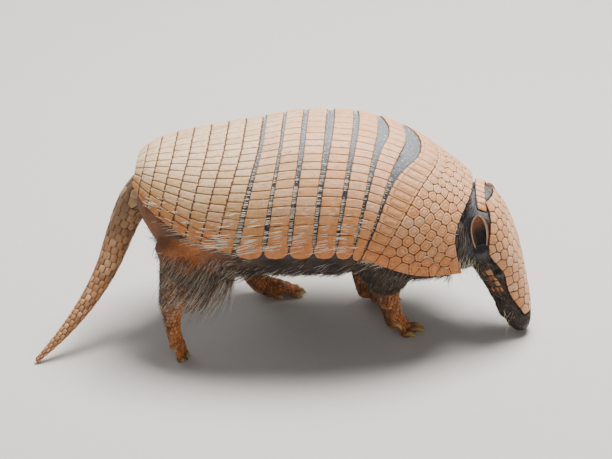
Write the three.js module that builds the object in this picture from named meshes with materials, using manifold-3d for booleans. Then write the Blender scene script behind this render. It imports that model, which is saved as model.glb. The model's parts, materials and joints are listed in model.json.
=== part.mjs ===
// A six-banded armadillo in mid stride with its nose to the ground, life size, in millimetres.
// +X runs towards the head, +Y to the animal's left and +Z up. The feet stand on z = 0.

import * as THREE from "three";
import { mergeVertices } from "three/addons/utils/BufferGeometryUtils.js";
import Module from "manifold-3d";

const wasm = await Module();
wasm.setup();

const seam = 0.4; // clear gap between neighbouring solids
const plateThickness = 3.5; // bony shell plates
const shieldThickness = 2.2; // thinner plates of the head
const degree = Math.PI / 180;
const originShift = { x: -0.42, y: 0 }; // puts the origin under the middle of the bounding box

// ---------- drawing sizes ----------

// Sections of the shell, from its rear lip over the tail to its front lip behind the ears. x and z place the
// middle of a section at the shell's lower edge, and tilt leans its top forward. belly is the trunk's depth under
// that level, and edge the angle round the section, from its top, that each half of the shell reaches.
const carapace = [
  { at: -129, z: 145, halfWidth: 30, height: 19, tilt: 12, belly: 16, edge: 74 },
  { at: -119, z: 138, halfWidth: 50, height: 35, tilt: 12, belly: 26, edge: 79 },
  { at: -100, z: 127, halfWidth: 68, height: 53, tilt: 13, belly: 38, edge: 81.5 },
  { at: -75, z: 117, halfWidth: 80, height: 69, tilt: 14, belly: 44, edge: 85.5 },
  { at: -33, z: 109.5, halfWidth: 89, height: 84, tilt: 13, belly: 42, edge: 87 },
  { at: 12, z: 111.5, halfWidth: 91, height: 87, tilt: 6.5, belly: 43, edge: 88 },
  { at: 53, z: 113, halfWidth: 90, height: 84, tilt: 9.5, belly: 46, edge: 89 },
  { at: 68, z: 112, halfWidth: 88, height: 81, tilt: 17, belly: 47, edge: 90 },
  { at: 79, z: 109.5, halfWidth: 86, height: 78, tilt: 33, belly: 46, edge: 92 },
  { at: 122, z: 91, halfWidth: 74, height: 70, tilt: 22, belly: 34, edge: 94 },
  { at: 164, z: 82.5, halfWidth: 54, height: 58, tilt: 4, belly: 22, edge: 94 },
];
const shellRoundness = 2.2; // exponent of the section's superellipse, where 2 is an ellipse

// Gaps between the plates, where soft skin shows: their middle and width at the shell's lower edge and top.
const bandGaps = [
  { sideAt: -35, sideWidth: 5.5, topAt: -34, topWidth: 4.5 },
  { sideAt: -13, sideWidth: 5.5, topAt: -13, topWidth: 3.5 },
  { sideAt: 11, sideWidth: 5.5, topAt: 11.5, topWidth: 7 },
  { sideAt: 32, sideWidth: 5, topAt: 33, topWidth: 9 },
  { sideAt: 50, sideWidth: 4, topAt: 52, topWidth: 6 },
  { sideAt: 63.5, sideWidth: 3, topAt: 67, topWidth: 6 },
  { sideAt: 71.5, sideWidth: 2, topAt: 78.5, topWidth: 8 },
];
const edgeSlot = { at: -53, width: 4, fromAngle: 72 }; // short open slot on each side of the pelvic shield
const earNotch = { depth: 18, angle: 58, spread: 30 }; // hollow in the front lip behind each ear

// The head's own frame starts at the back of the skull: x runs to the nose, y to the left, z to the forehead. edge
// is the angle round each section, from the forehead, that the head shield reaches.
const headPlace = {
  back: new THREE.Vector3(182, -2, 131),
  forward: new THREE.Vector3(0.246, -0.138, -0.96).normalize(),
  faceTurn: 7, // how far the face turns to its own right about the head's length
};
const head = [
  { at: -6, halfWidth: 17, top: -9, bottom: -32, edge: 40 },
  { at: 1, halfWidth: 26, top: 1, bottom: -37, edge: 41 },
  { at: 15, halfWidth: 33, top: 8, bottom: -39, edge: 52 },
  { at: 32, halfWidth: 36, top: 11, bottom: -38, edge: 73 },
  { at: 48, halfWidth: 35.5, top: 12.5, bottom: -35, edge: 90 },
  { at: 64, halfWidth: 31, top: 12.5, bottom: -30, edge: 71.5 },
  { at: 80, halfWidth: 24, top: 12, bottom: -25.5, edge: 83 },
  { at: 96, halfWidth: 19, top: 11, bottom: -22.5, edge: 84 },
  { at: 112, halfWidth: 15.5, top: 9, bottom: -18.5, edge: 60 },
  { at: 124, halfWidth: 13, top: 6, bottom: -15, edge: 40 },
  { at: 131, halfWidth: 9.5, top: 2.5, bottom: -10.5, edge: 40 },
];
const faceShield = { from: 3, to: 115, rows: 10, columns: 10 };
const jaw = { from: 58, mouthAtRear: -20, mouthAtTip: -7.5 };
const eye = { at: 67, side: 26.8, height: -7, radius: 4.7 };
const ear = { rootAt: 36, tipAt: 6, rootSide: 32, tipSide: 40, rootHeight: -14, tipHeight: -8, width: 7, wall: 1.3 };

const neck = [
  { x: 146, y: 0, z: 96, wide: 46, deep: 39 },
  { x: 158, y: -1, z: 100, wide: 40, deep: 36 },
  { x: 169, y: -2, z: 103, wide: 33, deep: 31 },
  { x: 180, y: -4, z: 101, wide: 25, deep: 24 },
];
// A narrow arch of scutes between the shell and the head shield. Its ends lie further forward than its top.
const napeBand = { x: 173.4, y: -1, z: 137, reach: 36, drop: 33, sweep: 3, halfWidth: 4.5, halfAngle: 50, slope: 22 };

const tail = [
  { x: -112, y: 1, z: 140, wide: 17, deep: 16 },
  { x: -127, y: 0, z: 126, wide: 16, deep: 15 },
  { x: -137, y: -3, z: 108, wide: 14, deep: 13.5 },
  { x: -146, y: -10, z: 87, wide: 12.2, deep: 12 },
  { x: -153.5, y: -20, z: 69.5, wide: 10.6, deep: 10.4 },
  { x: -165, y: -34, z: 51, wide: 8.8, deep: 8.6 },
  { x: -179, y: -49, z: 34.5, wide: 7, deep: 6.8 },
  { x: -196, y: -63, z: 18, wide: 5, deep: 4.8 },
  { x: -216, y: -77, z: 1.9, wide: 2.6, deep: 2.4 },
];
const tailCuts = [55, 112]; // lengths along the tail where it is divided
const tailSections = 22;

// Each leg runs from inside the trunk to the middle of its toes. reach shortens the toes' run over the floor where
// they stand steeply on it.
const legs = {
  right_hind: {
    joints: [
      { x: -64, y: -46, z: 112, wide: 32, deep: 32 },
      { x: -72, y: -59, z: 87, wide: 24, deep: 36 },
      { x: -83, y: -64, z: 69, wide: 17, deep: 26 },
      { x: -94, y: -65, z: 53, wide: 10, deep: 12.5 },
      { x: -95, y: -65, z: 40, wide: 8, deep: 8.5 },
      { x: -94, y: -66, z: 27, wide: 9, deep: 7 },
      { x: -92, y: -66, z: 17, wide: 9.5, deep: 6.5 },
    ],
    cuts: [3, 4],
    names: ["thigh", "shank", "hind_foot"],
    toes: { heading: -12, z: 17, reach: 0.42, kind: "hind" },
  },
  left_hind: {
    joints: [
      { x: -52, y: 44, z: 112, wide: 32, deep: 40 },
      { x: -42, y: 54, z: 84, wide: 24, deep: 34 },
      { x: -36, y: 53, z: 60, wide: 16, deep: 20 },
      { x: -34, y: 50, z: 38, wide: 11, deep: 12.5 },
      { x: -33, y: 48, z: 20, wide: 10, deep: 10 },
      { x: -22, y: 47, z: 9.2, wide: 10, deep: 9.8 },
      { x: -8, y: 47, z: 7.2, wide: 10.5, deep: 8 },
    ],
    cuts: [3, 4],
    names: ["thigh", "shank", "hind_foot"],
    toes: { heading: 8, z: 7.5, reach: 1, kind: "hind" },
  },
  right_fore: {
    joints: [
      { x: 94, y: -44, z: 92, wide: 24, deep: 28 },
      { x: 92, y: -42, z: 72, wide: 18, deep: 23 },
      { x: 90, y: -35, z: 55, wide: 12.5, deep: 15 },
      { x: 92, y: -29, z: 40, wide: 10, deep: 11 },
      { x: 95, y: -25, z: 26, wide: 11, deep: 9.5 },
      { x: 98, y: -22, z: 11.5, wide: 12, deep: 8.8 },
    ],
    cuts: [2, 3],
    names: ["upper_arm", "forearm", "fore_foot"],
    toes: { heading: 2, z: 12, reach: 0.86, kind: "fore" },
  },
  left_fore: {
    joints: [
      { x: 86, y: 44, z: 92, wide: 24, deep: 30 },
      { x: 80, y: 44, z: 72, wide: 18, deep: 24 },
      { x: 72, y: 40, z: 54, wide: 13, deep: 16 },
      { x: 67, y: 37, z: 38, wide: 10.5, deep: 11.5 },
      { x: 68, y: 35, z: 22, wide: 11.5, deep: 9.5 },
      { x: 72, y: 34, z: 9, wide: 12, deep: 9.2 },
    ],
    cuts: [2, 3],
    names: ["upper_arm", "forearm", "fore_foot"],
    toes: { heading: 4, z: 10, reach: 1, kind: "fore" },
  },
};
// Toes from the inner to the outer side of a foot: place across it, splay, flesh and claw lengths, thickness, and
// how far behind the front of the foot they start.
const toeSets = {
  fore: [
    { across: -10.5, splay: -14, flesh: 8, claw: 9, radius: 3.5, back: 7 },
    { across: -6, splay: -6, flesh: 14, claw: 16, radius: 4.3, back: 0 },
    { across: 0, splay: 0, flesh: 16, claw: 15, radius: 4.6, back: 0 },
    { across: 6.5, splay: 8, flesh: 10, claw: 12, radius: 4.5, back: 0 },
    { across: 10.5, splay: 30, flesh: 5, claw: 9, radius: 3.7, back: 20 },
  ],
  hind: [
    { across: -8.5, splay: -13, flesh: 7, claw: 6, radius: 3.4, back: 10 },
    { across: -5.5, splay: -8, flesh: 13, claw: 8, radius: 3.9, back: 0 },
    { across: 0, splay: 0, flesh: 15, claw: 9, radius: 4.3, back: 0 },
    { across: 5.5, splay: 8, flesh: 12, claw: 8, radius: 3.9, back: 0 },
    { across: 8.5, splay: 14, flesh: 6, claw: 7, radius: 3.5, back: 16 },
  ],
};

// ---------- curves and solids ----------

// The value of a list of stations at a place along it, on a smooth curve through them.
function along(stations, key, at) {
  const last = stations.length - 1;
  let i = 0;
  while (i < last - 1 && at > stations[i + 1].at) i++;
  const slope = (k) => {
    const a = stations[Math.max(k - 1, 0)];
    const b = stations[Math.min(k + 1, last)];
    return (b[key] - a[key]) / (b.at - a.at);
  };
  const [from, to] = [stations[i], stations[i + 1]];
  const span = to.at - from.at;
  const t = (at - from.at) / span;
  const rise = t * t * (3 - 2 * t);
  return (
    from[key] * (1 - rise) + to[key] * rise +
    slope(i) * span * t * (1 - t) ** 2 - slope(i + 1) * span * t * t * (1 - t)
  );
}

const mix = (a, b, t) => a + (b - a) * t;

// A power of |value| that keeps its sign, for superellipse sections.
const signedPower = (value, exponent) => Math.sign(value) * Math.abs(value) ** exponent;

function geometryOf(points, faces) {
  const geometry = new THREE.BufferGeometry();
  geometry.setAttribute("position", new THREE.Float32BufferAttribute(points.flatMap((p) => [p.x, p.y, p.z]), 3));
  geometry.setIndex(signedVolume(points, faces) < 0 ? faces.map(([a, b, c]) => [a, c, b]).flat() : faces.flat());
  return geometry;
}

function signedVolume(points, faces) {
  const cross = new THREE.Vector3();
  return faces.reduce((sum, [a, b, c]) => sum + points[a].dot(cross.crossVectors(points[b], points[c])), 0);
}

// A closed body through rings of points, with a fan over each end.
function loft(rings) {
  const count = rings[0].length;
  const points = rings.flat();
  const faces = [];
  for (let r = 0; r < rings.length - 1; r++) {
    for (let c = 0; c < count; c++) {
      const [a, b] = [r * count + c, r * count + ((c + 1) % count)];
      faces.push([a, b, b + count], [a, b + count, a + count]);
    }
  }
  for (const [ring, start, flip] of [[rings[0], 0, true], [rings.at(-1), (rings.length - 1) * count, false]]) {
    const centre = ring.reduce((sum, p) => sum.add(p), new THREE.Vector3()).divideScalar(count);
    points.push(centre);
    for (let c = 0; c < count; c++) {
      const [a, b] = [start + c, start + ((c + 1) % count)];
      faces.push(flip ? [b, a, points.length - 1] : [a, b, points.length - 1]);
    }
  }
  return geometryOf(points, faces);
}

// A closed plate between two grids of points of the same size, its outer and its inner face.
function slab(outer, inner) {
  const [rows, columns] = [outer.length, outer[0].length];
  const points = [...outer.flat(), ...inner.flat()];
  const under = rows * columns;
  const faces = [];
  const index = (r, c) => r * columns + c;
  for (let r = 0; r < rows - 1; r++) {
    for (let c = 0; c < columns - 1; c++) {
      const [a, b, d, e] = [index(r, c), index(r, c + 1), index(r + 1, c + 1), index(r + 1, c)];
      faces.push([a, b, d], [a, d, e]);
      faces.push([a + under, d + under, b + under], [a + under, e + under, d + under]);
    }
  }
  const rim = [];
  for (let c = 0; c < columns - 1; c++) rim.push(index(0, c));
  for (let r = 0; r < rows - 1; r++) rim.push(index(r, columns - 1));
  for (let c = columns - 1; c > 0; c--) rim.push(index(rows - 1, c));
  for (let r = rows - 1; r > 0; r--) rim.push(index(r, 0));
  rim.forEach((a, i) => {
    const b = rim[(i + 1) % rim.length];
    faces.push([a, a + under, b + under], [a, b + under, b]);
  });
  return geometryOf(points, faces);
}

function solidOf(geometry) {
  const bare = geometry.index ? geometry.clone() : geometry;
  bare.deleteAttribute("normal");
  bare.deleteAttribute("uv");
  const merged = mergeVertices(bare, 1e-4);
  return new wasm.Manifold(
    new wasm.Mesh({
      numProp: 3,
      vertProperties: new Float32Array(merged.attributes.position.array),
      triVerts: new Uint32Array(merged.index.array),
    }),
  );
}

// The biggest single body of a solid, as geometry, without slivers that a cut left beside it.
function geometryFrom(solid) {
  const whole = solid.decompose().sort((a, b) => b.volume() - a.volume())[0].simplify(0.15);
  const { numProp, vertProperties, triVerts } = whole.getMesh();
  const geometry = new THREE.BufferGeometry();
  const positions = [];
  for (let i = 0; i < vertProperties.length; i += numProp) positions.push(...vertProperties.subarray(i, i + 3));
  geometry.setAttribute("position", new THREE.Float32BufferAttribute(positions, 3));
  geometry.setIndex([...triVerts]);
  return geometry;
}

// ---------- materials ----------

const finish = (color, roughness) => new THREE.MeshStandardMaterial({ color, roughness, metalness: 0 });
const shellHorn = finish(0xc9a282, 0.6);
const darkSkin = finish(0x4a3a33, 0.75);
const legSkin = finish(0x8a5a3c, 0.7);
const tailHorn = finish(0xa9795c, 0.65);
const earSkin = finish(0x8c6a52, 0.6);
const clawHorn = finish(0xb08a4a, 0.45);
const eyeGloss = finish(0x120c0a, 0.1);

const animal = new THREE.Group();
animal.position.set(originShift.x, originShift.y, 0);

function addPart(name, geometry, material, parent = animal) {
  const part = new THREE.Mesh(geometry, material);
  part.name = name;
  parent.add(part);
  return part;
}

// ---------- shell ----------

// A point on the shell's outer surface, at an angle in degrees round the section from its top to the left.
function shellPoint(at, angle) {
  const tilt = along(carapace, "tilt", at) * degree;
  const side = along(carapace, "halfWidth", at) * signedPower(Math.sin(angle * degree), 2 / shellRoundness);
  const rise = along(carapace, "height", at) * signedPower(Math.cos(angle * degree), 2 / shellRoundness);
  return new THREE.Vector3(at + rise * Math.sin(tilt), side, along(carapace, "z", at) + rise * Math.cos(tilt));
}

function shellNormal(at, angle) {
  const step = 0.5;
  const forward = shellPoint(at + step, angle).sub(shellPoint(at - step, angle));
  const around = shellPoint(at, angle + step).sub(shellPoint(at, angle - step));
  return around.cross(forward).normalize().negate();
}

// A point under the shell's outer surface, or over it where the depth is negative.
const shellDepth = (at, angle, depth) => shellPoint(at, angle).addScaledVector(shellNormal(at, angle), -depth);

// Where a gap's lip runs: its place along the body at each angle. part is -1 for the rear lip, 1 for the front one.
function lipAt(gap, part, angle) {
  const topShare = Math.cos(angle * degree) ** 2;
  const middle = mix(gap.sideAt, gap.topAt, topShare ** 3);
  return middle + (part * mix(gap.sideWidth, gap.topWidth, topShare ** 3)) / 2;
}

function frontLip(angle) {
  const notch = Math.exp(-(((Math.abs(angle) - earNotch.angle) / earNotch.spread) ** 2));
  return carapace.at(-1).at - earNotch.depth * notch;
}

function shellPlate(rearLip, front, rows, columns) {
  const grid = (depth) =>
    Array.from({ length: rows + 1 }, (_, r) =>
      Array.from({ length: columns + 1 }, (_, c) => {
        const across = mix(-1, 1, c / columns);
        const at = mix(rearLip(across * 90), front(across * 90), r / rows);
        return shellDepth(at, across * along(carapace, "edge", at), depth);
      }),
    );
  return slab(grid(0), grid(plateThickness));
}

const shellColumns = 22;
const slotCutter = (side) => {
  const grid = (depth) =>
    [-0.5, 0.5].map((end) =>
      [0, 0.5, 1].map((share) => {
        const angle = side * mix(edgeSlot.fromAngle, 100, share);
        return shellDepth(edgeSlot.at + end * edgeSlot.width * (0.4 + 0.6 * Math.min(share * 2, 1)), angle, depth);
      }),
    );
  return solidOf(slab(grid(-3), grid(plateThickness + 3)));
};
const pelvis = shellPlate(() => carapace[0].at, (angle) => lipAt(bandGaps[0], -1, angle), 8, shellColumns);
addPart("pelvic_shield", geometryFrom(solidOf(pelvis).subtract(slotCutter(1)).subtract(slotCutter(-1))), shellHorn);
for (let i = 0; i < bandGaps.length - 1; i++) {
  const plate = shellPlate(
    (angle) => lipAt(bandGaps[i], 1, angle),
    (angle) => lipAt(bandGaps[i + 1], -1, angle),
    1,
    shellColumns,
  );
  addPart(`band_${i + 1}`, plate, shellHorn);
}
addPart(
  "scapular_shield",
  shellPlate((angle) => lipAt(bandGaps.at(-1), 1, angle), frontLip, 6, shellColumns),
  shellHorn,
);

// ---------- trunk ----------

// A closed ring round the whole body, under the shell above and round the belly below.
function bodyRing(at, depth) {
  const [arch, sag] = [18, 10];
  const ring = [];
  for (let i = 0; i <= arch; i++) ring.push(shellDepth(at, mix(-90, 90, i / arch), depth));
  const tilt = along(carapace, "tilt", at) * degree;
  const half = (ring.at(-1).y - ring[0].y) / 2;
  const fall = along(carapace, "belly", at) - Math.max(depth, 0) * 0.2;
  const base = ring[0].clone().add(ring.at(-1)).multiplyScalar(0.5);
  for (let i = 1; i < sag; i++) {
    const turn = (Math.PI * i) / sag;
    const drop = fall * signedPower(Math.sin(turn), 2 / 2.2);
    const side = half * signedPower(Math.cos(turn), 2 / 2.2);
    ring.push(new THREE.Vector3(base.x - drop * Math.sin(tilt), side, base.z - drop * Math.cos(tilt)));
  }
  return ring;
}

// The body as one solid. Its surface lies under the shell's by depth.
function bodySolid(depth) {
  const places = [-127, -119, -105, -85, -60, -33, -11, 12, 40, 60, 79, 100, 125, 152];
  return solidOf(loft(places.map((at) => bodyRing(at, depth))));
}

const bodyKeepOut = bodySolid(-seam);

// ---------- limbs ----------

// Adds each joint's distance along the limb.
function measured(joints) {
  let at = 0;
  return joints.map((joint, i) => {
    if (i > 0) at += Math.hypot(joint.x - joints[i - 1].x, joint.y - joints[i - 1].y, joint.z - joints[i - 1].z);
    return { ...joint, at };
  });
}

const limbPoint = (limb, at) => new THREE.Vector3(along(limb, "x", at), along(limb, "y", at), along(limb, "z", at));

function limbRing(limb, at, segments, grow = 0) {
  const step = 0.5;
  const end = limb.at(-1).at;
  const before = limbPoint(limb, Math.max(at - step, 0));
  const run = limbPoint(limb, Math.min(at + step, end)).sub(before).normalize();
  const across = new THREE.Vector3(0, 1, 0).addScaledVector(run, -run.y).normalize();
  const deepward = new THREE.Vector3().crossVectors(run, across);
  const centre = limbPoint(limb, at);
  const [wide, deep] = [along(limb, "wide", at) + grow, along(limb, "deep", at) + grow];
  return Array.from({ length: segments }, (_, i) => {
    const turn = (2 * Math.PI * i) / segments - Math.PI / 2;
    return centre
      .clone()
      .addScaledVector(across, wide * Math.cos(turn))
      .addScaledVector(deepward, deep * Math.sin(turn));
  });
}

function limbSolid(limb, from, to, steps, segments, grow = 0) {
  const places = Array.from({ length: steps + 1 }, (_, i) => mix(from, to, i / steps));
  return solidOf(loft(places.map((at) => limbRing(limb, at, segments, grow))));
}

const aboveFloor = (solid) => solid.trimByPlane([0, 0, 1], 0);

// A toe with its claw: a tapering body that bends down to the floor, divided where the claw starts.
function toeWithClaw(limb, toes, toe) {
  const heading = (toes.heading - toe.splay) * degree;
  const ahead = new THREE.Vector3(Math.cos(heading), Math.sin(heading), 0);
  const left = new THREE.Vector3(-Math.sin(toes.heading * degree), Math.cos(toes.heading * degree), 0);
  const end = limb.at(-1).at;
  const lift = limbPoint(limb, end - toe.back).z - limb.at(-1).z;
  const root = limbPoint(limb, end - 1 - toe.back).addScaledVector(left, -toe.across);
  const reach = (toe.flesh + toe.claw) * toes.reach;
  const spot = (share, height, radius) => {
    const { x, y } = root.clone().addScaledVector(ahead, reach * share);
    return { x, y, z: height + lift * (1 - 0.25 * Math.max(share, 0)), wide: radius, deep: radius };
  };
  const fleshShare = toe.flesh / (toe.flesh + toe.claw);
  const joints = measured([
    spot(-0.12, toes.z, toe.radius * 0.9),
    spot(fleshShare * 0.55, mix(toes.z, toe.radius, 0.45) + 1.6, toe.radius),
    spot(fleshShare, toe.radius * 0.6, toe.radius * 0.84),
    spot(mix(fleshShare, 1, 0.5), toe.radius * 0.8, toe.radius * 0.56),
    spot(1, 0.1, 0.65),
  ]);
  const clawStart = joints[2].at;
  return {
    flesh: limbSolid(joints, 0, clawStart, 3, 6),
    fleshKeepOut: limbSolid(joints, 0, clawStart, 3, 6, seam),
    claw: aboveFloor(limbSolid(joints, clawStart + seam, joints.at(-1).at, 2, 6)),
  };
}

function addLeg(limbName, leg) {
  const [side] = limbName.split("_");
  const joints = measured(leg.joints);
  const cuts = [0, ...leg.cuts.map((i) => joints[i].at), joints.at(-1).at];
  const steps = [5, 1, 3];
  const materials = [darkSkin, legSkin, legSkin];
  const segment = (i, grow) => {
    const from = cuts[i] + (i > 0 ? seam / 2 : 0);
    const to = cuts[i + 1] - (i < 2 ? seam * 0.7 : 0);
    return limbSolid(joints, from, to, steps[i], 12, grow);
  };
  leg.names.slice(0, 2).forEach((name, i) => {
    addPart(`${side}_${name}`, geometryFrom(segment(i, 0).subtract(bodyKeepOut)), materials[i]);
  });
  const toes = toeSets[leg.toes.kind].map((toe) =>
    toeWithClaw(joints, leg.toes, side === "left" ? { ...toe, across: -toe.across, splay: -toe.splay } : toe),
  );
  const foot = toes.reduce((sum, toe) => sum.add(toe.flesh), segment(2, 0));
  const footKeepOut = toes.reduce((sum, toe) => sum.add(toe.fleshKeepOut), segment(2, seam));
  addPart(`${side}_${leg.names[2]}`, geometryFrom(aboveFloor(foot).subtract(segment(1, seam))), materials[2]);
  toes.forEach((toe, i) => addPart(`${limbName}_claw_${i + 1}`, geometryFrom(toe.claw.subtract(footKeepOut)), clawHorn));
}

// ---------- tail ----------

const tailLimb = measured(tail);
const tailLength = tailLimb.at(-1).at;
const tailMarks = [0, ...tailCuts, tailLength];
["tail_base", "tail_middle", "tail_tip"].forEach((name, i) => {
  const from = tailMarks[i] + (i > 0 ? seam / 2 : 0);
  const to = tailMarks[i + 1] - (i < 2 ? seam / 2 : 0);
  const steps = Math.round((tailSections * (to - from)) / tailLength);
  const piece = aboveFloor(limbSolid(tailLimb, from, to, steps, 12)).subtract(bodyKeepOut);
  addPart(name, geometryFrom(piece), tailHorn);
});

// ---------- head ----------

const headGroup = new THREE.Group();
const { back, forward, faceTurn } = headPlace;
const faceOut = new THREE.Vector3(Math.cos(faceTurn * degree), -Math.sin(faceTurn * degree), 0);
faceOut.addScaledVector(forward, -faceOut.dot(forward)).normalize();
const headLeft = new THREE.Vector3().crossVectors(faceOut, forward);
headGroup.quaternion.setFromRotationMatrix(new THREE.Matrix4().makeBasis(forward, headLeft, faceOut));
headGroup.position.copy(back);
headGroup.updateMatrix();
animal.add(headGroup);

// A point of the head's section, at an angle round it from the forehead to the left.
function headPoint(at, angle, depth) {
  const top = along(head, "top", at);
  const bottom = along(head, "bottom", at);
  const middle = mix(bottom, top, 0.52);
  const cosine = Math.cos(angle * degree);
  const reach = (cosine > 0 ? top - middle : middle - bottom) - depth;
  const side = (along(head, "halfWidth", at) - depth) * signedPower(Math.sin(angle * degree), 2 / 2.3);
  return new THREE.Vector3(at, side, middle + reach * signedPower(cosine, 2 / 2.3));
}

// The head as one solid, with its surface under the head's own by depth and a pocket under the face shield.
function headSolid(depth, pocket) {
  const { from, to, rows, columns } = faceShield;
  const [clear, under] = [0.8, 10];
  const ring = (at, inset) => {
    const edge = along(head, "edge", at) + 2;
    const roof = Array.from({ length: columns + 1 }, (_, c) =>
      headPoint(at, mix(-edge, edge, c / columns), depth + inset),
    );
    const rest = Array.from({ length: under + 1 }, (_, c) =>
      headPoint(at, mix(edge + 2.5, 360 - edge - 2.5, c / under), depth),
    );
    return [...roof, ...rest];
  };
  const rings = [ring(head[0].at, 0), ring(from - clear, 0)];
  for (let r = 0; r <= rows; r++) rings.push(ring(mix(from - clear / 2, to + clear / 2, r / rows), pocket));
  rings.push(ring(to + clear, 0), ring(mix(to, head.at(-1).at, 0.6), 0), ring(head.at(-1).at, 0));
  return solidOf(loft(rings));
}

const noseTip = head.at(-1).at;
const ballOf = (side, radius) =>
  solidOf(new THREE.SphereGeometry(radius, 12, 8)).translate([eye.at, side * eye.side, eye.height]);

const jawSpan = noseTip + 10 - jaw.from;
const mouthSlope = (jaw.mouthAtTip - jaw.mouthAtRear) / (noseTip - jaw.from);
const mouthAt = (at) => jaw.mouthAtRear + mouthSlope * (at - jaw.from);
function jawBlock(extra) {
  const [depth, width] = [60, 90];
  const shape = new THREE.Shape();
  shape.moveTo(jaw.from - extra, mouthAt(jaw.from) + extra);
  shape.lineTo(jaw.from + jawSpan, mouthAt(jaw.from + jawSpan) + extra);
  shape.lineTo(jaw.from + jawSpan, mouthAt(jaw.from) - depth);
  shape.lineTo(jaw.from - extra, mouthAt(jaw.from) - depth);
  const block = new THREE.ExtrudeGeometry(shape, { depth: width, bevelEnabled: false });
  return solidOf(block.rotateX(Math.PI / 2).translate(0, width / 2, 0));
}

const faceShieldGrid = (depth, margin) =>
  Array.from({ length: faceShield.rows + 1 }, (_, r) =>
    Array.from({ length: faceShield.columns + 1 }, (_, c) => {
      const at = mix(faceShield.from - margin, faceShield.to + margin, r / faceShield.rows);
      const edge = along(head, "edge", at) + margin * 2;
      return headPoint(at, mix(-1, 1, c / faceShield.columns) * edge, depth);
    }),
  );
const faceShieldSlab = (margin) =>
  slab(faceShieldGrid(-margin, margin), faceShieldGrid(shieldThickness + margin, margin));

// The nape band, or the pocket it needs where it grows by a margin.
function napeSolid(margin) {
  const slope = napeBand.slope * degree;
  const ahead = new THREE.Vector3(Math.cos(slope), 0, -Math.sin(slope));
  const grid = (height) =>
    [-1, 1].map((end) =>
      Array.from({ length: 9 }, (_, c) => {
        const turn = mix(-1, 1, c / 8) * (napeBand.halfAngle + margin * 2) * degree;
        const outward = new THREE.Vector3(Math.sin(slope), Math.tan(turn), Math.cos(slope)).normalize();
        return new THREE.Vector3(
          napeBand.x + napeBand.sweep * Math.sin(turn) ** 2,
          napeBand.y + napeBand.reach * Math.sin(turn),
          napeBand.z - napeBand.drop * (1 - Math.cos(turn)),
        )
          .addScaledVector(ahead, end * (napeBand.halfWidth + margin))
          .addScaledVector(outward, height);
      }),
    );
  return solidOf(slab(grid(margin), grid(-shieldThickness - margin)));
}

const headWhole = headSolid(0, shieldThickness + seam);
const skull = headWhole
  .subtract(ballOf(1, eye.radius + seam))
  .subtract(ballOf(-1, eye.radius + seam))
  .subtract(jawBlock(seam))
  .subtract(napeSolid(seam).transform(headGroup.matrix.clone().invert().toArray()));
addPart("head", geometryFrom(skull), darkSkin, headGroup);
addPart("lower_jaw", geometryFrom(headWhole.intersect(jawBlock(0))), darkSkin, headGroup);
addPart("left_eye", geometryFrom(ballOf(1, eye.radius)), eyeGloss, headGroup);
addPart("right_eye", geometryFrom(ballOf(-1, eye.radius)), eyeGloss, headGroup);

addPart("head_shield", faceShieldSlab(0), shellHorn, headGroup);

const headKeepOut = headSolid(-seam, 0);
// An ear is a leaf rolled into a cup, with its mouth to the side and a little forward.
function earGeometry(side) {
  const [rows, columns] = [6, 7];
  const grid = (inset) =>
    Array.from({ length: rows + 1 }, (_, r) => {
      const t = r / rows;
      const centre = new THREE.Vector3(
        mix(ear.rootAt, ear.tipAt, t),
        side * mix(ear.rootSide, ear.tipSide, t),
        mix(ear.rootHeight, ear.tipHeight, t),
      );
      const radius = ear.width * (0.62 + 0.5 * Math.sin(Math.PI * (0.12 + 0.62 * t))) * Math.sqrt(1.0001 - t ** 4) - inset;
      return Array.from({ length: columns + 1 }, (_, c) => {
        const turn = mix(-118, 118, c / columns) * degree;
        const across = radius * Math.sin(turn);
        const inward = -radius * Math.cos(turn) * 0.85;
        return centre.clone().add(new THREE.Vector3(inward * 0.15, side * inward * 0.62, across - inward * 0.1));
      });
    });
  return slab(grid(0), grid(ear.wall));
}
for (const [name, side] of [["left_ear", 1], ["right_ear", -1]]) {
  addPart(name, geometryFrom(solidOf(earGeometry(side)).subtract(headKeepOut)), earSkin, headGroup);
}

// ---------- neck and nape ----------

const headInBody = headKeepOut.transform(headGroup.matrix.toArray());
const neckLimb = measured(neck);
const neckSolid = limbSolid(neckLimb, 0, neckLimb.at(-1).at, 4, 20);
addPart("neck", geometryFrom(neckSolid.subtract(bodyKeepOut).subtract(headInBody).subtract(napeSolid(seam))), darkSkin);
const shieldInBody = solidOf(faceShieldSlab(1)).transform(headGroup.matrix.toArray());
addPart("nape_band", geometryFrom(napeSolid(0).subtract(shieldInBody)), shellHorn);

addPart("trunk", geometryFrom(bodySolid(plateThickness + seam + 1.0).subtract(headInBody)), darkSkin);
for (const [side, leg] of Object.entries(legs)) addLeg(side, leg);

export default animal;
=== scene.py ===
import json
import math
import random

import bmesh
import bpy
import numpy as np
from mathutils import Matrix, Vector
from mathutils.bvhtree import BVHTree

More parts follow.
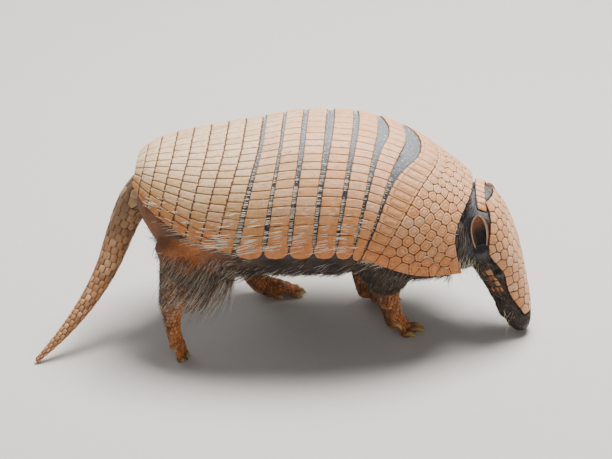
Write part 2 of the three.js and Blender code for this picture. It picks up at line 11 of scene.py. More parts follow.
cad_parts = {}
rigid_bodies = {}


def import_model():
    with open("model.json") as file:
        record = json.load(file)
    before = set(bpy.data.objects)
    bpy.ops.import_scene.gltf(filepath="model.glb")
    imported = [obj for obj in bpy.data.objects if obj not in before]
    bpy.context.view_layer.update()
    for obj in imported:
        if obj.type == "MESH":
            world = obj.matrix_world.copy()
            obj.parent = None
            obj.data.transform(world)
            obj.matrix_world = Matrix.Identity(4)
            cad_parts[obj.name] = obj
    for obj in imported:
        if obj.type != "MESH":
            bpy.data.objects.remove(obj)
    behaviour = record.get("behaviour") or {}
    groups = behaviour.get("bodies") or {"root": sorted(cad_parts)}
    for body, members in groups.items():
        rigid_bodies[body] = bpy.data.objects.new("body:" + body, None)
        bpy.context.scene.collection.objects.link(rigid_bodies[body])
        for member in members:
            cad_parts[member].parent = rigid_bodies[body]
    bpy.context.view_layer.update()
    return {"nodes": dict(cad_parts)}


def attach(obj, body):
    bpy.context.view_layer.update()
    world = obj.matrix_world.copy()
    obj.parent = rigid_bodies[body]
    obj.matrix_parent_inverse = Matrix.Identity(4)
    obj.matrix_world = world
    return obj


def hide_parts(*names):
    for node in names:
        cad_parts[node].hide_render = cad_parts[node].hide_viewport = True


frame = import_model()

for leftOver in [o for o in bpy.data.objects if o.name in ("Cube", "Light", "Camera")]:
    bpy.data.objects.remove(leftOver)
random.seed(6)
dice = np.random.default_rng(6)
originShift = (-0.42, 0, 0)  # all drawing sizes are in millimetres, from the same zero as the solids

print("armadillo: frame loaded")


# small helpers: drawings are in millimetres, meshes in metres

def pickOnly(*pieces):
    if bpy.context.object and bpy.context.object.mode != "OBJECT":
        bpy.ops.object.mode_set(mode="OBJECT")
    bpy.ops.object.select_all(action="DESELECT")
    for piece in pieces:
        piece.select_set(True)
    if pieces:
        bpy.context.view_layer.objects.active = pieces[0]


def named(name):
    piece = bpy.context.object
    piece.name = name
    piece.data.name = name
    return piece


def toScene(points):
    return (np.asarray(points, float) + originShift) * 0.001


def toDrawing(points):
    return np.asarray(points, float) * 1000 - originShift


def spotsOf(piece):
    spots = np.empty(len(piece.data.vertices) * 3)
    piece.data.vertices.foreach_get("co", spots)
    return spots.reshape(-1, 3)


def moveSpots(piece, spots):
    piece.data.vertices.foreach_set("co", np.ascontiguousarray(spots).ravel())
    piece.data.update()


def normalsOf(piece):
    normals = np.empty(len(piece.data.vertices) * 3, np.float32)
    piece.data.vertex_normals.foreach_get("vector", normals)
    return normals.reshape(-1, 3).astype(float)


def paintAttribute(piece, name, values, domain="POINT"):
    layer = piece.data.attributes.get(name) or piece.data.attributes.new(name, "FLOAT", domain)
    layer.data.foreach_set("value", np.asarray(values, np.float32))


def applyModifier(piece, kind, **settings):
    pickOnly(piece)
    bpy.ops.object.modifier_add(type=kind)
    modifier = piece.modifiers[-1]
    for key, value in settings.items():
        setattr(modifier, key, value)
    bpy.ops.object.modifier_apply(modifier=modifier.name)


def joined(pieces, name):
    pickOnly(*pieces)
    if len(pieces) > 1:
        bpy.ops.object.join()
    return named(name)


def meshFrom(name, points, faces):
    pickOnly()
    mesh = bpy.data.meshes.new(name)
    mesh.from_pydata([tuple(p) for p in points], [], faces)
    piece = bpy.data.objects.new(name, mesh)
    bpy.context.scene.collection.objects.link(piece)
    pickOnly(piece)
    return piece


def sheetOf(name, rows, columns):
    # a flat grid, from 0 to 1 along x and from -0.5 to 0.5 along y
    pickOnly()
    bpy.ops.mesh.primitive_grid_add(x_subdivisions=rows, y_subdivisions=columns, size=1, location=(0.5, 0, 0))
    bpy.ops.object.transform_apply(location=True)
    return named(name)


def roundBall(name, segments, rings):
    pickOnly()
    bpy.ops.mesh.primitive_uv_sphere_add(segments=segments, ring_count=rings, radius=1)
    return named(name)


def smoothed(piece):
    pickOnly(piece)
    bpy.ops.object.shade_smooth()


def inEditMode(piece, step, wholeMesh=False, **settings):
    pickOnly(piece)
    bpy.ops.object.mode_set(mode="EDIT")
    bpy.ops.mesh.select_mode(type="FACE")
    if wholeMesh:
        bpy.ops.mesh.select_all(action="SELECT")
    step(**settings)
    bpy.ops.object.mode_set(mode="OBJECT")


def facesOut(piece):
    inEditMode(piece, bpy.ops.mesh.normals_make_consistent, wholeMesh=True, inside=False)


def dressed(piece, material):
    facesOut(piece)
    smoothed(piece)
    piece.data.materials.append(material)


def unit(vectors):
    vectors = np.asarray(vectors, float)
    return vectors / np.maximum(np.linalg.norm(vectors, axis=-1, keepdims=True), 1e-12)


def mix(a, b, t):
    return a + (b - a) * t


def ease(low, high, value):
    t = np.clip((value - low) / (high - low), 0, 1)
    return t * t * (3 - 2 * t)


def closeTo(value, middle, spread):
    # 1 at the middle, falling away to both sides
    return np.exp(-((value - middle) / spread) ** 2)


def signedPower(value, exponent):
    return np.sign(value) * np.abs(value) ** exponent


def along(table, key, at):
    places, values = np.asarray(table["at"], float), np.asarray(table[key], float)
    slopes = np.empty(len(places))
    slopes[1:-1] = (values[2:] - values[:-2]) / (places[2:] - places[:-2])
    slopes[0] = (values[1] - values[0]) / (places[1] - places[0])
    slopes[-1] = (values[-1] - values[-2]) / (places[-1] - places[-2])
    at = np.asarray(at, float)
    i = np.clip(np.searchsorted(places, at, side="right") - 1, 0, len(places) - 2)
    span = places[i + 1] - places[i]
    t = (at - places[i]) / span
    rise = t * t * (3 - 2 * t)
    return (values[i] * (1 - rise) + values[i + 1] * rise
            + slopes[i] * span * t * (1 - t) ** 2 - slopes[i + 1] * span * t * t * (1 - t))


# camera, light and floor

stageLook = {
    "lookAt": (19.9, 0, 91.9),  # millimetres
    "distance": 2400,
    "azimuth": 4,  # degrees towards the head
    "height": 28,
    "roll": 2,
    "focal": 2727 / 612 * 36,  # millimetres on a 36 mm frame
    "floorSize": 6,  # metres
    "floorColours": ((0.60, 0.575, 0.54, 1), (0.64, 0.61, 0.575, 1)),
    "panels": [  # name, place in metres, size, watts, colour
        ("skyPanel", (0.35, 0.45, 1.9), 1.0, 104, (1, 0.98, 0.95)),
        ("frontPanel", (0.4, -2.0, 0.9), 1.8, 9, (1, 0.98, 0.96)),
        ("rearPanel", (-1.3, 1.2, 1.3), 1.4, 10, (0.95, 0.98, 1)),
    ],
    "roomColour": (0.9, 0.95, 1, 1),
    "roomLight": 0.22,
}


def setUpStage(look):
    turn, height = math.radians(look["azimuth"]), math.radians(look["height"])
    flat = math.cos(height)
    towards = Vector((math.sin(turn) * flat, -math.cos(turn) * flat, math.sin(height)))
    right = Vector((math.cos(turn), math.sin(turn), 0))
    up = towards.cross(right)
    spin = Matrix.Rotation(math.radians(-look["roll"]), 3, towards)
    axes = Matrix((spin @ right, spin @ up, towards)).transposed().to_4x4()
    cameraData = bpy.data.cameras.new("camera")
    cameraData.lens = look["focal"]
    cameraData.sensor_width = 36
    cameraData.clip_end = 50
    camera = bpy.data.objects.new("camera", cameraData)
    bpy.context.scene.collection.objects.link(camera)
    place = (Vector(look["lookAt"]) + towards * look["distance"]) * 0.001
    camera.matrix_world = Matrix.Translation(place) @ axes
    bpy.context.scene.camera = camera

    for name, place, size, power, colour in look["panels"]:
        data = bpy.data.lights.new(name, "AREA")
        data.energy, data.size, data.color = power, size, colour
        lamp = bpy.data.objects.new(name, data)
        lamp.location = place
        lamp.rotation_euler = (Vector((0, 0, 0.08)) - Vector(place)).to_track_quat("-Z", "Y").to_euler()
        bpy.context.scene.collection.objects.link(lamp)
    world = bpy.data.worlds.new("studio")
    world.use_nodes = True
    background = world.node_tree.nodes["Background"]
    background.inputs["Color"].default_value = look["roomColour"]
    background.inputs["Strength"].default_value = look["roomLight"]
    bpy.context.scene.world = world

    pickOnly()
    bpy.ops.mesh.primitive_plane_add(size=look["floorSize"])
    floor = named("floor")
    finish = Finish("paleFloor", roughness=0.85)
    grain = finish.noise(90, detail=4)
    finish.feed("Base Color", finish.blend(grain, *look["floorColours"]))
    floor.data.materials.append(finish.material)


# shader sums are written with Signal, every other node comes from Finish.node

class Signal:
    def __init__(self, finish, socket):
        self.finish, self.socket = finish, socket

    def maths(self, operation, other, flip=False):
        pair = {0: other, 1: self} if flip else {0: self, 1: other}
        return self.finish.node("Math", {"operation": operation}, pair)

    def __add__(self, other):
        return self.maths("ADD", other)

    def __mul__(self, other):
        return self.maths("MULTIPLY", other)

    def __sub__(self, other):
        return self.maths("SUBTRACT", other)

    def __rsub__(self, other):
        return self.maths("SUBTRACT", other, flip=True)

    __radd__ = __add__
    __rmul__ = __mul__


class Finish:
    def __init__(self, name, roughness=0.6, **sockets):
        self.material = bpy.data.materials.new(name)
        self.material.use_nodes = True
        self.tree = self.material.node_tree
        self.shader = self.tree.nodes["Principled BSDF"]
        self.shader.inputs["Roughness"].default_value = roughness
        for key, value in sockets.items():
            self.shader.inputs[key].default_value = value
        self.place = self.node("TexCoord", output="Object")

    def node(self, kind, settings=None, inputs=None, output=0):
        made = self.tree.nodes.new("ShaderNode" + kind)
        for key, value in (settings or {}).items():
            setattr(made, key, value)
        for key, value in (inputs or {}).items():
            if isinstance(value, Signal):
                self.tree.links.new(value.socket, made.inputs[key])
            else:
                made.inputs[key].default_value = value
        return Signal(self, made.outputs[output])

    def attribute(self, name):
        return self.node("Attribute", {"attribute_name": name}, output="Fac")

    def noise(self, scale, detail=3, roughness=0.55, place=None):
        return self.node("TexNoise", inputs={
            "Vector": place or self.place, "Scale": scale, "Detail": detail, "Roughness": roughness})

    def stretched(self, scale):
        return self.node("Mapping", inputs={"Vector": self.place, "Scale": scale})

    def blend(self, factor, first, second):
        return self.node("Mix", {"data_type": "RGBA"}, {0: factor, 6: first, 7: second}, output=2)

    def span(self, signal, low, high, outLow=0.0, outHigh=1.0):
        return self.node("MapRange", {"clamp": True}, {
            "Value": signal, "From Min": low, "From Max": high, "To Min": outLow, "To Max": outHigh})

    def cover(self, body, code, signal, low, high, most=1.0):
        # a colour that shows over body as the signal goes from low to high
        return self.blend(self.span(signal, low, high, 0, most), body, tint(code))

    def bump(self, height, strength=0.4, distance=0.001):
        return self.node("Bump", inputs={"Height": height, "Strength": strength, "Distance": distance})

    def feed(self, socket, signal):
        self.tree.links.new(signal.socket, self.shader.inputs[socket])

    def done(self, colour, roughness, relief=None):
        self.feed("Base Color", colour)
        self.feed("Roughness", roughness)
        if relief:
            self.feed("Normal", relief)
        return self.material


def tint(code):
    # a colour written as on a colour chart, made linear
    parts = [int(code[i:i + 2], 16) / 255 for i in (0, 2, 4)]
    return tuple(c / 12.92 if c <= 0.04045 else ((c + 0.055) / 1.055) ** 2.4 for c in parts) + (1,)


setUpStage(stageLook)
print("armadillo: stage set")


# the shell's surface, by a place along the back and an angle down from the top

carapace = {  # sections from the rear lip over the tail to the front lip behind the ears
    "at": [-129, -119, -100, -75, -33, 12, 53, 68, 79, 122, 164],
    "z": [145, 138, 127, 117, 109.5, 111.5, 113, 112, 109.5, 91, 82.5],
    "halfWidth": [30, 50, 68, 80, 89, 91, 90, 88, 86, 74, 54],
    "height": [19, 35, 53, 69, 84, 87, 84, 81, 78, 70, 58],
    "tilt": [12, 12, 13, 14, 13, 6.5, 9.5, 17, 33, 22, 4],
    "edge": [74, 79, 81.5, 85.5, 87, 88, 89, 90, 92, 94, 94],
    "roundness": 2.2,
}
bandGaps = {  # middle and width of each skin gap, at these angles down from the top
    "angles": [0, 20, 38, 55, 80],
    "middle": [[-32.5, -31.9, -34, -35.7, -36.2], [-10.6, -9.9, -10.9, -11.9, -11.8],
               [12.4, 12.9, 12.4, 10.8, 10.5], [34, 33.8, 33.2, 31.7, 31.6], [53.2, 52.5, 51.6, 51, 50.1],
               [67.9, 65.8, 65, 64.8, 64.5], [78.4, 74.4, 72.3, 72.2, 72.8]],
    "width": [[3.2, 3, 3.4, 3.8, 4.2], [3.4, 2.8, 3.4, 3.7, 4.4], [4.4, 4.3, 4, 3.9, 3.8],
              [6.4, 5.4, 4.1, 3.6, 3.2], [3.8, 3.3, 3, 3, 2.6], [4.8, 2.7, 2, 1.6, 1.7],
              [8, 3.4, 1.5, 0.9, 1]],
}
earNotch = {"depth": 18, "angle": 58, "spread": 30}


def onBack(at):
    return np.clip(at, carapace["at"][0], carapace["at"][-1])


def shellPoint(at, angle):
    at, angle = np.broadcast_arrays(np.asarray(at, float), np.radians(angle))
    tilt, power = np.radians(along(carapace, "tilt", at)), 2 / carapace["roundness"]
    side = along(carapace, "halfWidth", at) * signedPower(np.sin(angle), power)
    rise = along(carapace, "height", at) * signedPower(np.cos(angle), power)
    return np.stack([at + rise * np.sin(tilt), side, along(carapace, "z", at) + rise * np.cos(tilt)], -1)


def shellFrame(at, angle, step=0.5):
    forward = unit(shellPoint(at + step, angle) - shellPoint(at - step, angle))
    around = shellPoint(at, angle + step) - shellPoint(at, angle - step)
    return shellPoint(at, angle), forward, unit(np.cross(forward, around))


def onShell(at, angle, height):
    spot, _, normal = shellFrame(at, angle)
    return spot + normal * np.asarray(height, float)[..., None]


def shellSpot(points):
    # the place and angle of any point, and how far out it is, with 1 on the surface
    at = points[:, 0].copy()
    for _ in range(12):
        tilt = np.radians(along(carapace, "tilt", onBack(at)))
        rise = (points[:, 2] - along(carapace, "z", onBack(at))) / np.cos(tilt)
        at = mix(at, points[:, 0] - rise * np.sin(tilt), 0.7)
    clipped = onBack(at)
    power = carapace["roundness"] / 2
    side = signedPower(points[:, 1] / along(carapace, "halfWidth", clipped), power)
    up = signedPower(rise / along(carapace, "height", clipped), power)
    return at, np.degrees(np.arctan2(side, up)), np.hypot(side, up)


def lipAt(gap, part, angle):
    around = np.abs(np.asarray(angle, float)[..., None] + np.linspace(-9, 9, 7))
    middle = np.interp(around, bandGaps["angles"], bandGaps["middle"][gap]).mean(-1)
    width = np.interp(around, bandGaps["angles"], bandGaps["width"][gap]).mean(-1)
    return middle + part * width / 2


def frontLip(angle):
    notch = closeTo(np.abs(angle), earNotch["angle"], earNotch["spread"])
    return carapace["at"][-1] - earNotch["depth"] * notch


# scutes are horny tiles on a bony plate

scuteCut = {
    "floor": -1.15,  # level of the groove between two tiles
    "groove": 0.34,  # width of a groove at its floor
    "wall": (0.16, 0.85),  # how far the side wall leans in, and its rise
    "shoulder": (0.6, 0.28),
    "plate": 2.2,
}


def stripCells(shares, counts, wobble=0.05, midPoints=1, point=0.0):
    # rows of scutes, every second row moved half a scute along
    cells = []
    for row, count in enumerate(counts):
        shift = 0.5 * (row % 2)
        edges = [k + shift + random.uniform(-wobble, wobble) for k in range(count + 1)]
        edges = [-1 + 2 * e / count for e in edges if 0.25 < e < count - 0.25]
        edges = [-1] + edges + [1]
        near, far = shares[row], shares[row + 1]
        for left, right in zip(edges, edges[1:]):
            side = [mix(near, far, k / (midPoints + 1)) for k in range(midPoints + 2)]
            middle = (left + right) / 2
            outline = [(s, left) for s in side] + [(far + point * (far - near), middle)]
            outline += [(s, right) for s in reversed(side)] + [(near, middle)]
            cells.append(outline)
    return cells


def softened(corners, bite):
    # cuts the corners of one scute back by bite millimetres along both sides
    kept = []
    for i, here in enumerate(corners):
        back, on = corners[i - 1] - here, corners[(i + 1) % len(corners)] - here
        backLong, onLong = np.linalg.norm(back), np.linalg.norm(on)
        if bite > 0 and back @ on > -0.93 * backLong * onLong:
            kept += [here + back * min(0.4, bite / backLong), here + on * min(0.4, bite / onLong)]
        else:
            kept.append(here)
    return kept


def clipCell(cell, centre, other, stretch):
    mx, my = (centre[0] + other[0]) / 2, (centre[1] + other[1]) / 2
    dx, dy = other[0] - centre[0], other[1] - centre[1]
    dx, dy = stretch[0] * dx + stretch[1] * dy, stretch[1] * dx + stretch[2] * dy
    depth = [(x - mx) * dx + (y - my) * dy for x, y in cell]
    kept = []
    for i, here in enumerate(cell):
        following = cell[(i + 1) % len(cell)]
        a, b = depth[i], depth[(i + 1) % len(cell)]
        if a <= 0:
            kept.append(here)
        if (a < 0) != (b < 0) and a != b:
            t = a / (a - b)
            kept.append((mix(here[0], following[0], t), mix(here[1], following[1], t)))
    return kept


def stretchOf(lay, place, step=0.004):
    # how the sheet's own shares measure in millimetres there: (xx, xy, yy)
    x, y = np.array([place[0], place[0] + step, place[0]]), np.array([place[1], place[1], place[1] + step])
    here, ahead, beside = lay(x, y, 0.0)
    u, v = (ahead - here) / step, (beside - here) / step
    return float(u @ u), float(u @ v), float(v @ v)


def mosaicCells(seeds, box, reach, stretches):
    # the plate nearest to each seed, measured on the surface and cut off at the box
    (x0, x1), (y0, y1) = box
    cells = []
    for centre, stretch in zip(seeds, stretches):
        cx, cy = centre
        rx, ry = reach / math.sqrt(stretch[0]), reach / math.sqrt(stretch[2])
        left, right = max(cx - rx, x0), min(cx + rx, x1)
        low, high = max(cy - ry, y0), min(cy + ry, y1)
        cell = [(left, low), (right, low), (right, high), (left, high)]
        for other, nextStretch in zip(seeds, stretches):
            dx, dy = other[0] - cx, other[1] - cy
            if abs(dx) < 2 * rx and abs(dy) < 2 * ry and (dx or dy):
                shared = [(a + b) / 2 for a, b in zip(stretch, nextStretch)]
                cell = clipCell(cell, centre, other, shared)
        tidy = []
        for k, p in enumerate(cell):
            dx, dy = p[0] - cell[k - 1][0], p[1] - cell[k - 1][1]
            if stretch[0] * dx * dx + 2 * stretch[1] * dx * dy + stretch[2] * dy * dy > (0.04 * reach) ** 2:
                tidy.append(p)
        cells.append(tidy)
    return cells


def settledCells(seeds, lay, box, reach, rounds):
    # seeds move to the middle of their plates a few times, so that the plates come out even
    for turn in range(rounds + 1):
        cells = mosaicCells(seeds, box, reach, [stretchOf(lay, seed) for seed in seeds])
        if turn < rounds:
            seeds = [tuple(np.mean(cell, axis=0)) for cell in cells if len(cell) > 2]
    return [cell for cell in cells if len(cell) > 2]


def selectedSpots(piece, layerName, value):
    shape = bmesh.from_edit_mesh(piece.data)
    layer = shape.verts.layers.float[layerName]
    for vert in shape.verts:
        if vert.select:
            vert[layer] = value
    bmesh.update_edit_mesh(piece.data)


def drawnIn(tiles, width, rise):
    # a new ring inside every selected face, width in from its rim and lifted by rise
    bpy.ops.mesh.inset(thickness=0, depth=0, use_individual=True)
    shape = bmesh.from_edit_mesh(tiles.data)
    for face in shape.faces:
        if face.select:
            centre, lift = face.calc_center_median(), face.normal * rise / 1000
            share = 1 - width / 1000 / math.sqrt(face.calc_area() / math.pi)
            for vert in face.verts:
                vert.co = centre + (vert.co - centre) * max(share, 0.25) + lift
    bmesh.update_edit_mesh(tiles.data)


def facingOut(cells, lay):
    # cells whose corners run the right way round for faces that look out of the surface
    score = 0
    for cell in cells[:40]:
        outline = np.array(cell)
        corners = lay(outline[:, 0], outline[:, 1], 0.0)
        middle = outline.mean(0)[:, None] * np.ones((1, 2))
        out = lay(middle[0], middle[1], 1.0)[0] - lay(middle[0], middle[1], 0.0)[0]
        score += np.cross(corners - corners[0], np.roll(corners, -1, 0) - corners[0]).sum(0) @ out
    return cells if score > 0 else [list(reversed(cell)) for cell in cells]


def scuteTiles(name, cells, lay, cut, ring=None):
    points, faces = [], []
    cells = facingOut(cells, lay)
    for cell in cells:
        outline = np.array(cell)
        corners = softened(lay(outline[:, 0], outline[:, 1], cut["floor"] - 0.25), cut.get("bite", 0.9))
        faces.append(list(range(len(points), len(points) + len(corners))))
        points += corners
    tiles = meshFrom(name, toScene(np.array(points)), faces)
    paintAttribute(tiles, "tone", dice.random(len(faces)), "FACE")
    paintAttribute(tiles, "rise", np.zeros(len(points)))
    bpy.ops.object.mode_set(mode="EDIT")
    bpy.ops.mesh.select_mode(type="FACE")
    bpy.ops.mesh.select_all(action="SELECT")
    bpy.ops.mesh.inset(thickness=cut["groove"] / 2000, depth=0, use_individual=True)
    bpy.ops.mesh.select_all(action="INVERT")
    bpy.ops.mesh.delete(type="FACE")
    bpy.ops.mesh.select_all(action="SELECT")
    bpy.ops.mesh.duplicate()
    bpy.ops.mesh.flip_normals()
    bpy.ops.mesh.select_all(action="INVERT")
    steps = [(*cut["wall"], 0.75), (*cut["shoulder"], 1.0)]
    for width, rise, mark in steps + (ring or []):
        drawnIn(tiles, width, rise)
        selectedSpots(tiles, "rise", mark)
    bpy.ops.mesh.select_all(action="SELECT")
    bpy.ops.mesh.remove_doubles(threshold=1e-6)
    bpy.ops.object.mode_set(mode="OBJECT")
    return tiles


def bonyPlate(name, rows, columns, lay, cut):
    plate = sheetOf(name, rows, columns)
    sheet = spotsOf(plate)
    moveSpots(plate, toScene(lay(sheet[:, 0], sheet[:, 1] * 2, cut["floor"])))
    applyModifier(plate, "SOLIDIFY", thickness=cut["plate"] / 1000, offset=-1)
    paintAttribute(plate, "tone", np.full(len(plate.data.polygons), 0.5), "FACE")
    paintAttribute(plate, "rise", np.zeros(len(plate.data.vertices)))
    return plate


def scuteShield(name, node, cells, lay, grid, cut=scuteCut, ring=None):
    plate = bonyPlate(name + "_plate", *grid, lay, cut)
    tiles = scuteTiles(name + "_tiles", cells, lay, cut, ring)
    shield = joined([plate, tiles], name)
    dressed(shield, shellHorn)
    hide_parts(node)
    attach(shield, "root")
    return shield


def shellLay(rear, front):
    def lay(share, across, height):
        at = mix(rear(across * 90), front(across * 90), share)
        return onShell(at, across * along(carapace, "edge", at), np.broadcast_to(height, at.shape))
    return lay


def makeShellHorn():
    finish = Finish("shellHorn", roughness=0.55)
    low, tone, rise = finish.attribute("low"), finish.attribute("tone"), finish.attribute("rise")
    fore = finish.attribute("fore")
    broad = finish.noise(14, detail=4)
    fine = finish.noise(220, detail=6, roughness=0.65)
    streaks = finish.noise(60, detail=5, roughness=0.7, place=finish.stretched((2.2, 9, 9)))
    grit = finish.noise(700, detail=3, roughness=0.7)
    upper = finish.blend(fore, tint("f2c99c"), tint("f6b585"))
    flank = finish.blend(fore, tint("bd8f55"), tint("cf8443"))
    body = finish.blend(finish.span(low + (broad - 0.5) * 0.3, 0.22, 0.72), upper, flank)
    body = finish.cover(body, "f3dec4", tone * 0.3 + fine, 0.52, 0.95, 0.42)
    body = finish.cover(body, "93794f", tone * 0.4 + broad, 0.6, 0.3, 0.4)
    body = finish.cover(body, "94703f", streaks, 0.5, 0.7, 0.6)
    body = finish.cover(body, "7c5a39", fine, 0.54, 0.7, 0.5)
    body = finish.cover(body, "6d4c30", grit * 0.6 + fine * 0.4, 0.56, 0.7, 0.45)
    rust = finish.blend(finish.span(fine, 0.35, 0.65), tint("ad5a1e"), tint("c9803f"))
    body = finish.blend(finish.span(low + (tone - 0.5) * 0.08, 0.72, 0.96, 0, 0.85), body, rust)
    worn = finish.span(rise + (fine - 0.5) * 0.3, 0.2, 0.9)
    body = finish.blend(worn, tint("5c3c26"), body)
    rough = finish.span(fine + (streaks - 0.5) * 0.6, 0.35, 0.75, 0.42, 0.72)
    return finish.done(body, rough, finish.bump(streaks * 0.8 + fine * 0.7 + grit * 0.25, 0.75, 0.0014))


shellHorn = makeShellHorn()
shellLook = {
    "bandScutes": 32,
    "bandDome": [(1.0, 0.08, 1.0)],  # rings inside a scute: width, rise and how clean the horn is there
    "pelvicRows": 8,
    "pelvicSquash": 1.28,  # rows are shorter towards the tail
    "pelvicDome": [(1.3, 0.16, 1.0)],
    "scuteWidth": 8.3,
    "scapularFirst": 30,  # long scutes in the first row
    "firstRow": 13.5,
    "hexagon": 10.2,
    "hexagonRow": 0.93,  # rows of hexagons are closer than a hexagon is wide
    "hexagonStray": 0.008,
    "lastSeed": 0.965,  # no seed beyond this share of the way to the front lip
    "bandEnd": 0.93,  # where the rounded last scute of a band starts
    "scapularDome": [(0.9, 0.08, 1.0), (0.45, -0.26, 0.42), (0.5, 0.26, 1.0)],
}


def markShell(shield):
    at, angle, _ = shellSpot(toDrawing(spotsOf(shield)))
    paintAttribute(shield, "low", np.abs(angle) / along(carapace, "edge", onBack(at)))
    paintAttribute(shield, "fore", ease(-75, 75, at))


def halfArc(at):
    angles = np.linspace(0, 1, 40) * along(carapace, "edge", at)
    line = shellPoint(np.full(40, float(at)), angles)
    return np.linalg.norm(np.diff(line, axis=0), axis=1).sum()


def buildPelvicShield(look):
    def rear(angle):
        return np.full_like(np.asarray(angle, float), carapace["at"][0])

    def front(angle):
        return lipAt(0, -1, angle)

    rows, end = look["pelvicRows"], bandGaps["middle"][0][2]
    shares = [(r / rows) ** look["pelvicSquash"] for r in range(rows + 1)]
    places = [mix(carapace["at"][0], end, (shares[r] + shares[r + 1]) / 2) for r in range(rows)]
    counts = [max(8, round(2 * halfArc(at) / look["scuteWidth"])) for at in places]
    cells = stripCells(shares, counts, wobble=0.09, point=-0.08)
    return scuteShield("pelvicShield", "pelvic_shield", cells, shellLay(rear, front), (14, 44),
                       ring=look["pelvicDome"])


def lobe(inner, side):
    # the rounded last scute of a band, over the edge and a little over the skin on both sides of it
    waist = mix(inner, 1, 0.3)
    shape = [(0, inner), (-0.06, waist), (-0.1, 0.975), (-0.05, 1.0), (0.12, 1.018), (0.5, 1.024),
             (0.88, 1.018), (1.05, 1.0), (1.1, 0.975), (1.06, waist), (1, inner), (0.5, inner)]
    return [(x, side * y) for x, y in (shape if side < 0 else reversed(shape))]


def buildBand(i, look):
    def rear(angle):
        return lipAt(i, 1, angle)

    def front(angle):
        return lipAt(i + 1, -1, angle)

    cells = stripCells([0, 1], [look["bandScutes"]], midPoints=2)
    cells = [lobe(look["bandEnd"], -1)] + cells[1:-1] + [lobe(look["bandEnd"], 1)]
    cut = dict(scuteCut, bite=0.5)
    return scuteShield(f"movingBand{i + 1}", f"band_{i + 1}", cells, shellLay(rear, front), (3, 44),
                       cut=cut, ring=look["bandDome"])


def buildScapularShield(look):
    lay = shellLay(lambda angle: lipAt(6, 1, angle), frontLip)
    firstRow, seeds = look["firstRow"], []
    sweep = np.linspace(-1, 1, 241)
    lengths = []
    for across in sweep:
        line = lay(np.linspace(0, 1, 40), np.full(40, across), 0.0)
        lengths.append(np.linalg.norm(np.diff(line, axis=0), axis=1).sum())
    lengths = np.array(lengths)

    def shareAt(across, distance):
        return distance / np.interp(across, sweep, lengths)

    def layRest(share, across, height):
        return lay(mix(shareAt(across, firstRow), 1, share), across, height)

    cells = []
    count = look["scapularFirst"]
    for k in range(count):
        left, right = -1 + 2 * k / count, -1 + 2 * (k + 1) / count
        nearX, farX = float(shareAt(left, firstRow)), float(shareAt(right, firstRow))
        middle = (left + right) / 2
        cells.append([(0, left), (nearX / 2, left), (nearX, left), (float(shareAt(middle, firstRow)), middle),
                      (farX, right), (farX / 2, right), (0, right)])
    row, distance = 0, look["hexagon"] / 2
    while distance < lengths.max() - firstRow:
        share = distance / (lengths - firstRow)
        line = layRest(np.clip(share, 0, 1), sweep, 0.0)
        run = np.concatenate([[0], np.cumsum(np.linalg.norm(np.diff(line, axis=0), axis=1))])
        number = max(6, round(run[-1] / look["hexagon"]))
        for k in range(number):
            across = float(np.interp((k + 0.5 * (1 + row % 2)) / (number + 0.5) * run[-1], run, sweep))
            x = float(np.interp(across, sweep, share))
            x += random.uniform(-look["hexagonStray"], look["hexagonStray"])
            if x < look["lastSeed"]:
                seeds.append((x, across))
        distance += look["hexagon"] * look["hexagonRow"]
        row += 1
    for cell in settledCells(seeds, layRest, ((0, 1), (-1, 1)), 15, 3):
        cells.append([(mix(float(shareAt(y, firstRow)), 1, x), y) for x, y in cell])
    return scuteShield("scapularShield", "scapular_shield", cells, lay, (12, 44), ring=look["scapularDome"])


shields = [buildPelvicShield(shellLook)]
shields += [buildBand(i, shellLook) for i in range(6)]
shields.append(buildScapularShield(shellLook))
for shield in shields:
    markShell(shield)
print("armadillo: shell laid, faces", sum(len(s.data.polygons) for s in shields))


# the head has a frame of its own: x to the nose, y to the left, z to the forehead

headPlace = {"back": (182, -2, 131), "forward": (0.246, -0.138, -0.96), "faceTurn": 7}
head = {
    "at": [-6, 1, 15, 32, 48, 64, 80, 96, 112, 124, 131],
    "halfWidth": [17, 26, 33, 36, 35.5, 31, 24, 19, 15.5, 13, 9.5],
    "top": [-9, 1, 8, 11, 12.5, 12.5, 12, 11, 9, 6, 2.5],
    "bottom": [-32, -37, -39, -38, -35, -30, -25.5, -22.5, -18.5, -15, -10.5],
    "edge": [40, 41, 52, 73, 90, 71.5, 83, 84, 60, 40, 40],
    "roundness": 2.3,
}
faceTurn = math.radians(headPlace["faceTurn"])
headForward = unit(np.array(headPlace["forward"]))
headOut = np.array([math.cos(faceTurn), -math.sin(faceTurn), 0])
headOut = unit(headOut - headForward * headOut.dot(headForward))
headAxes = np.stack([headForward, np.cross(headOut, headForward), headOut])


def fromHead(points):
    return np.asarray(points, float) @ headAxes + headPlace["back"]


def toHead(points):
    return (np.asarray(points, float) - headPlace["back"]) @ headAxes.T


def onSkull(at):
    return np.clip(at, head["at"][0], head["at"][-1])


def headPoint(at, angle, height):
    top, bottom, power = along(head, "top", at), along(head, "bottom", at), 2 / head["roundness"]
    middle = mix(bottom, top, 0.52)
    cosine, sine = np.cos(np.radians(angle)), np.sin(np.radians(angle))
    reach = np.where(cosine > 0, top - middle, middle - bottom) + height
    side = (along(head, "halfWidth", at) + height) * signedPower(sine, power)
    return np.stack([np.broadcast_to(at, side.shape), side, middle + reach * signedPower(cosine, power)], -1)


def headAngle(points):
    top, bottom = along(head, "top", points[:, 0]), along(head, "bottom", points[:, 0])
    power = head["roundness"] / 2
    middle = mix(bottom, top, 0.52)
    above = points[:, 2] > middle
    up = (points[:, 2] - middle) / np.where(above, top - middle, middle - bottom)
    side = points[:, 1] / along(head, "halfWidth", points[:, 0])
    return np.degrees(np.arctan2(signedPower(side, power), signedPower(up, power)))


